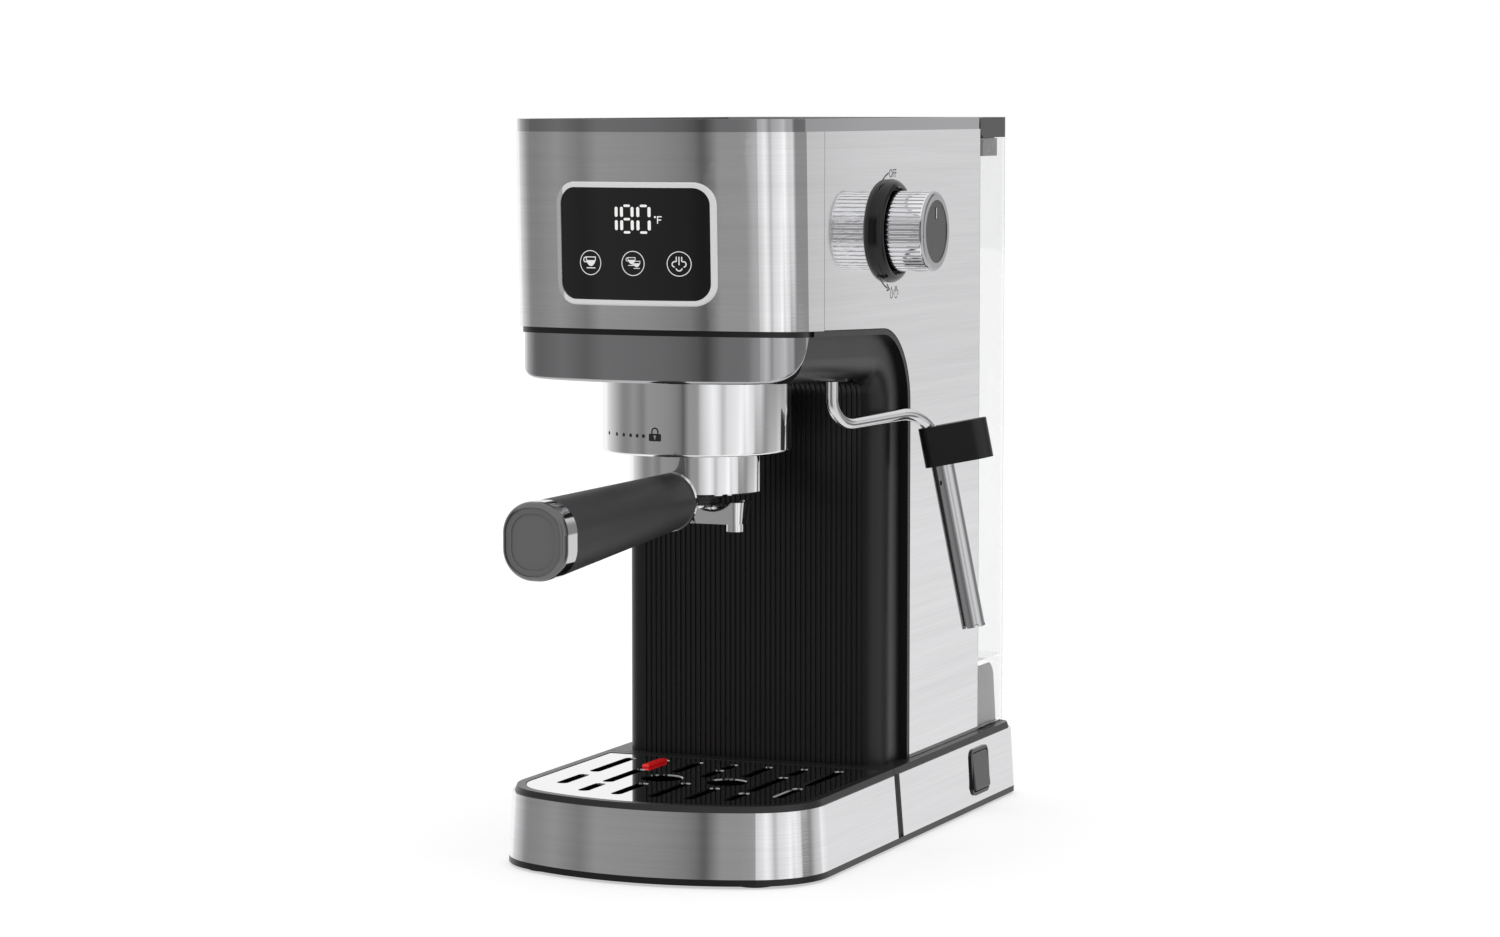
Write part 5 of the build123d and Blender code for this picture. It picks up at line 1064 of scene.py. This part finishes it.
# ---------------------------------------------------------------- studio
@dataclass
class Studio:
    """Pale floor, even studio light with darker bands for the metal, and the camera."""

    camera_place: tuple[float, float, float] = (0.68809, -1.67135, 0.31732)
    camera_pitch: float = -5.011
    camera_turn: float = 22.543
    lens: float = 100.0
    sensor: float = 36.0
    light_below: float = 0.42
    light_above: float = 1.06
    floor_size: float = 14.0
    level_bands: tuple[tuple[float, float], ...] = (
        (-180, 0.9),
        (-123, 1.05),
        (-114, 0.78),
        (-81, 0.28),
        (-73, 0.25),
        (-60, 0.32),
        (-48, 0.23),
        (-39, 0.32),
        (-12, 0.29),
        (-3, 0.25),
        (3, 0.19),
        (6.5, 0.11),
        (13, 0.32),
        (21, 0.32),
        (24, 0.35),
        (27, 0.57),
        (30, 0.7),
        (42, 1.04),
        (48, 0.86),
        (54, 0.56),
        (57, 0.62),
        (60, 0.79),
        (75, 0.92),
        (87, 1.14),
        (90, 0.92),
        (96, 0.77),
        (107, 0.82),
        (115, 0.3),
        (156, 0.3),
        (159, 0.72),
        (180, 0.74),
    )
    low_bands: tuple[tuple[float, float], ...] = (
        (-180, 0.9),
        (-123, 1.05),
        (-114, 0.78),
        (-81, 0.28),
        (-73, 0.26),
        (-60, 0.32),
        (-46, 0.21),
        (-39, 0.32),
        (-18, 0.29),
        (0, 0.22),
        (6.5, 0.11),
        (13, 0.33),
        (24, 0.33),
        (27, 0.5),
        (30, 0.6),
        (45, 0.99),
        (51, 0.81),
        (54, 0.56),
        (60, 0.82),
        (72, 0.95),
        (78, 1.2),
        (83, 0.66),
        (88, 0.88),
        (93, 0.88),
        (96.5, 0.78),
        (98, 0.2),
        (113, 0.26),
        (123, 0.58),
        (136, 0.74),
        (141, 1),
        (155, 0.82),
        (180, 0.84),
    )
    low_start: float = -0.06
    low_full: float = -0.10
    bright_from: float = 0.40
    bright_full: float = 0.62
    blue_lift: float = 1.005
    floor_drop: float = 0.0002
    floor_tone: float = 0.60
    floor_roughness: float = 0.9
    floor_lift: float = 0.52

    def camera(self) -> None:
        """Places the camera."""
        data = bpy.data.cameras.new("studio_camera")
        data.lens = self.lens
        data.sensor_width = self.sensor
        made = bpy.data.objects.new("studio_camera", data)
        made.location = self.camera_place
        made.rotation_euler = (math.radians(90 + self.camera_pitch), 0, math.radians(self.camera_turn))
        bpy.context.scene.collection.objects.link(made)
        bpy.context.scene.camera = made

    def world(self) -> None:
        """Builds the even light, the bands that metal reflects and the white background."""
        made = bpy.data.worlds.new("studio_world")
        bpy.context.scene.world = made
        made.use_nodes = True
        made.node_tree.nodes.clear()
        build = TreeBuilder(made.node_tree)
        place = build.node("ShaderNodeTexCoord")
        split = build.node("ShaderNodeSeparateXYZ")
        build.feed(place.outputs["Generated"], split.inputs["Vector"])
        glossy = build.node("ShaderNodeLightPath").outputs["Is Glossy Ray"]
        rise = build.maths("MULTIPLY_ADD", split.outputs["Z"], 0.5, 0.5)
        spread = self.light_above - self.light_below
        even = build.light(WHITE, build.maths("MULTIPLY_ADD", rise, spread, self.light_below))
        lit = build.either(glossy, even, build.light(self.bands(build, split)))
        out = build.node("ShaderNodeOutputWorld")
        build.feed(build.either(build.seen(), lit, build.light(WHITE)), out.inputs["Surface"])

    def bands(self, build: TreeBuilder, split: bpy.types.Node) -> Socket:
        """Adds the bands that metal reflects, which turn white high up and far down.

        Args:
            build: The world's nodes.
            split: The node that splits the direction.

        Returns:
            The colour.
        """
        height = split.outputs["Z"]
        back = build.maths("MULTIPLY", split.outputs["Y"], -1.0)
        turn = build.maths("ARCTAN2", split.outputs["X"], back)
        share = build.maths("MULTIPLY_ADD", turn, 1 / (2 * math.pi), 0.5)
        level = self.ramp(build, share, self.level_bands)
        low = self.ramp(build, share, self.low_bands)
        banded = build.blend(build.between(height, self.low_start, self.low_full), level, low)
        away = build.maths("ABSOLUTE", height)
        return build.blend(build.between(away, self.bright_from, self.bright_full), banded, WHITE)

    def ramp(self, build: TreeBuilder, share: Socket, bands: tuple[tuple[float, float], ...]) -> Socket:
        """Adds a ramp of brightness round the horizon.

        Args:
            build: The world's nodes.
            share: The turn as a share of the full circle.
            bands: Angles in degrees and their brightness.

        Returns:
            The ramp's colour.
        """
        made = build.node("ShaderNodeValToRGB")
        made.color_ramp.interpolation = "LINEAR"
        stops = made.color_ramp.elements
        for index, (angle, value) in enumerate(bands):
            spot = (angle + 180) / 360
            stop = stops[index] if index < 2 else stops.new(spot)
            stop.position = spot
            stop.color = (value, value, value * self.blue_lift, 1)
        build.feed(share, made.inputs["Fac"])
        return made.outputs["Color"]

    def floor(self) -> None:
        """Lays the pale floor, which shows the object's shadow only."""
        mesh = bmesh.new()
        bmesh.ops.create_grid(mesh, x_segments=1, y_segments=1, size=self.floor_size / 2)
        data = bpy.data.meshes.new("studio_floor")
        mesh.to_mesh(data)
        mesh.free()
        made = bpy.data.objects.new("studio_floor", data)
        made.location = (0, 0, -self.floor_drop)
        bpy.context.scene.collection.objects.link(made)
        made.visible_glossy = False
        made.visible_diffuse = False
        pale = bpy.data.materials.new("pale_floor")
        pale.use_nodes = True
        build = TreeBuilder(pale.node_tree)
        shader = pale.node_tree.nodes["Principled BSDF"]
        shader.inputs["Base Color"].default_value = (self.floor_tone,) * 3 + (1,)
        shader.inputs["Roughness"].default_value = self.floor_roughness
        shader.inputs["Specular IOR Level"].default_value = 0.0
        shader.inputs["Emission Color"].default_value = WHITE
        lift = build.maths("MULTIPLY", build.seen(), self.floor_lift)
        build.feed(lift, shader.inputs["Emission Strength"])
        data.materials.append(pale)


@dataclass
class PaintedShades:
    """The pieces whose finish changes at an edge, as painted shade. Depths in millimetres, shares of the
    colour's brightness.

    All of it is painted shade: the float is painted black under the grid as the grid's shadow, the grid's
    lower skin and the cap's front edge are painted darker, the bezel's left side is painted shaded, and the
    knob's rim is painted darker than its flutes.
    """

    finishing: Finishing
    grid_skin: float = 0.05
    grid_painted_shade: float = 0.25
    cap_edge: float = 3.2
    cap_painted_shade: float = 0.22
    bezel_side: float = 3.4
    bezel_painted_shade: float = 0.55
    knob_rim: float = 1.4
    knob_painted_shade_contrast: float = 1.9

    def dress(self) -> None:
        """Gives these pieces their finishes with painted shade."""
        grid_low, grid_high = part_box("drip_grid")
        cap_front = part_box("handle_cap")[0].y
        knob_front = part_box("steam_knob")[1].x
        bezel_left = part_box("display_bezel")[0].x
        # Painted shade: black float under the grid, darker grid skin, cap front, bezel left side and knob
        # rim.
        painted_shades = {
            "tray_float": (FLOAT_RED, PaintedShadeSplit("Z", grid_low.z, 0.0)),
            "drip_grid": (MIRROR_STEEL, PaintedShadeSplit("Z", grid_high.z - self.grid_skin * MM, self.grid_painted_shade)),
            "handle_cap": (CAP_CHROME, PaintedShadeSplit("Y", cap_front + self.cap_edge * MM, self.cap_painted_shade)),
            "display_bezel": (SILVER_BEZEL_PAINTED_SHEEN, PaintedShadeSplit("X", bezel_left + self.bezel_side * MM, self.bezel_painted_shade)),
            "steam_knob": (KNOB_CHROME, PaintedShadeSplit("X", knob_front - self.knob_rim * MM, self.knob_painted_shade_contrast)),
        }
        for name, (finish, split) in painted_shades.items():
            own = replace(finish, name=f"{finish.name}_with_painted_shade", split=split)
            self.finishing.dress(frame["nodes"][name], own)


def main() -> None:
    """Builds the looks of the machine in order."""
    logging.basicConfig(level=logging.INFO, format="%(name)s: %(message)s")
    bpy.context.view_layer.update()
    finishing = Finishing()
    finishing.dress_nodes(frame["nodes"])
    PaintedShades(finishing).dress()
    LOG.info("%d CAD nodes dressed", len(frame["nodes"]))
    marked = (DisplayMarks(finishing), KnobMarks(finishing), LockMarks(finishing), SleeveHoleShade(finishing))
    for marks in marked:
        for piece in marks.build():
            LOG.info("%s has %d faces", piece.name, len(piece.data.polygons))
    studio = Studio()
    studio.world()
    studio.floor()
    studio.camera()
    bpy.context.scene.view_settings.view_transform = "Standard"


if __name__ == "__main__":
    main()
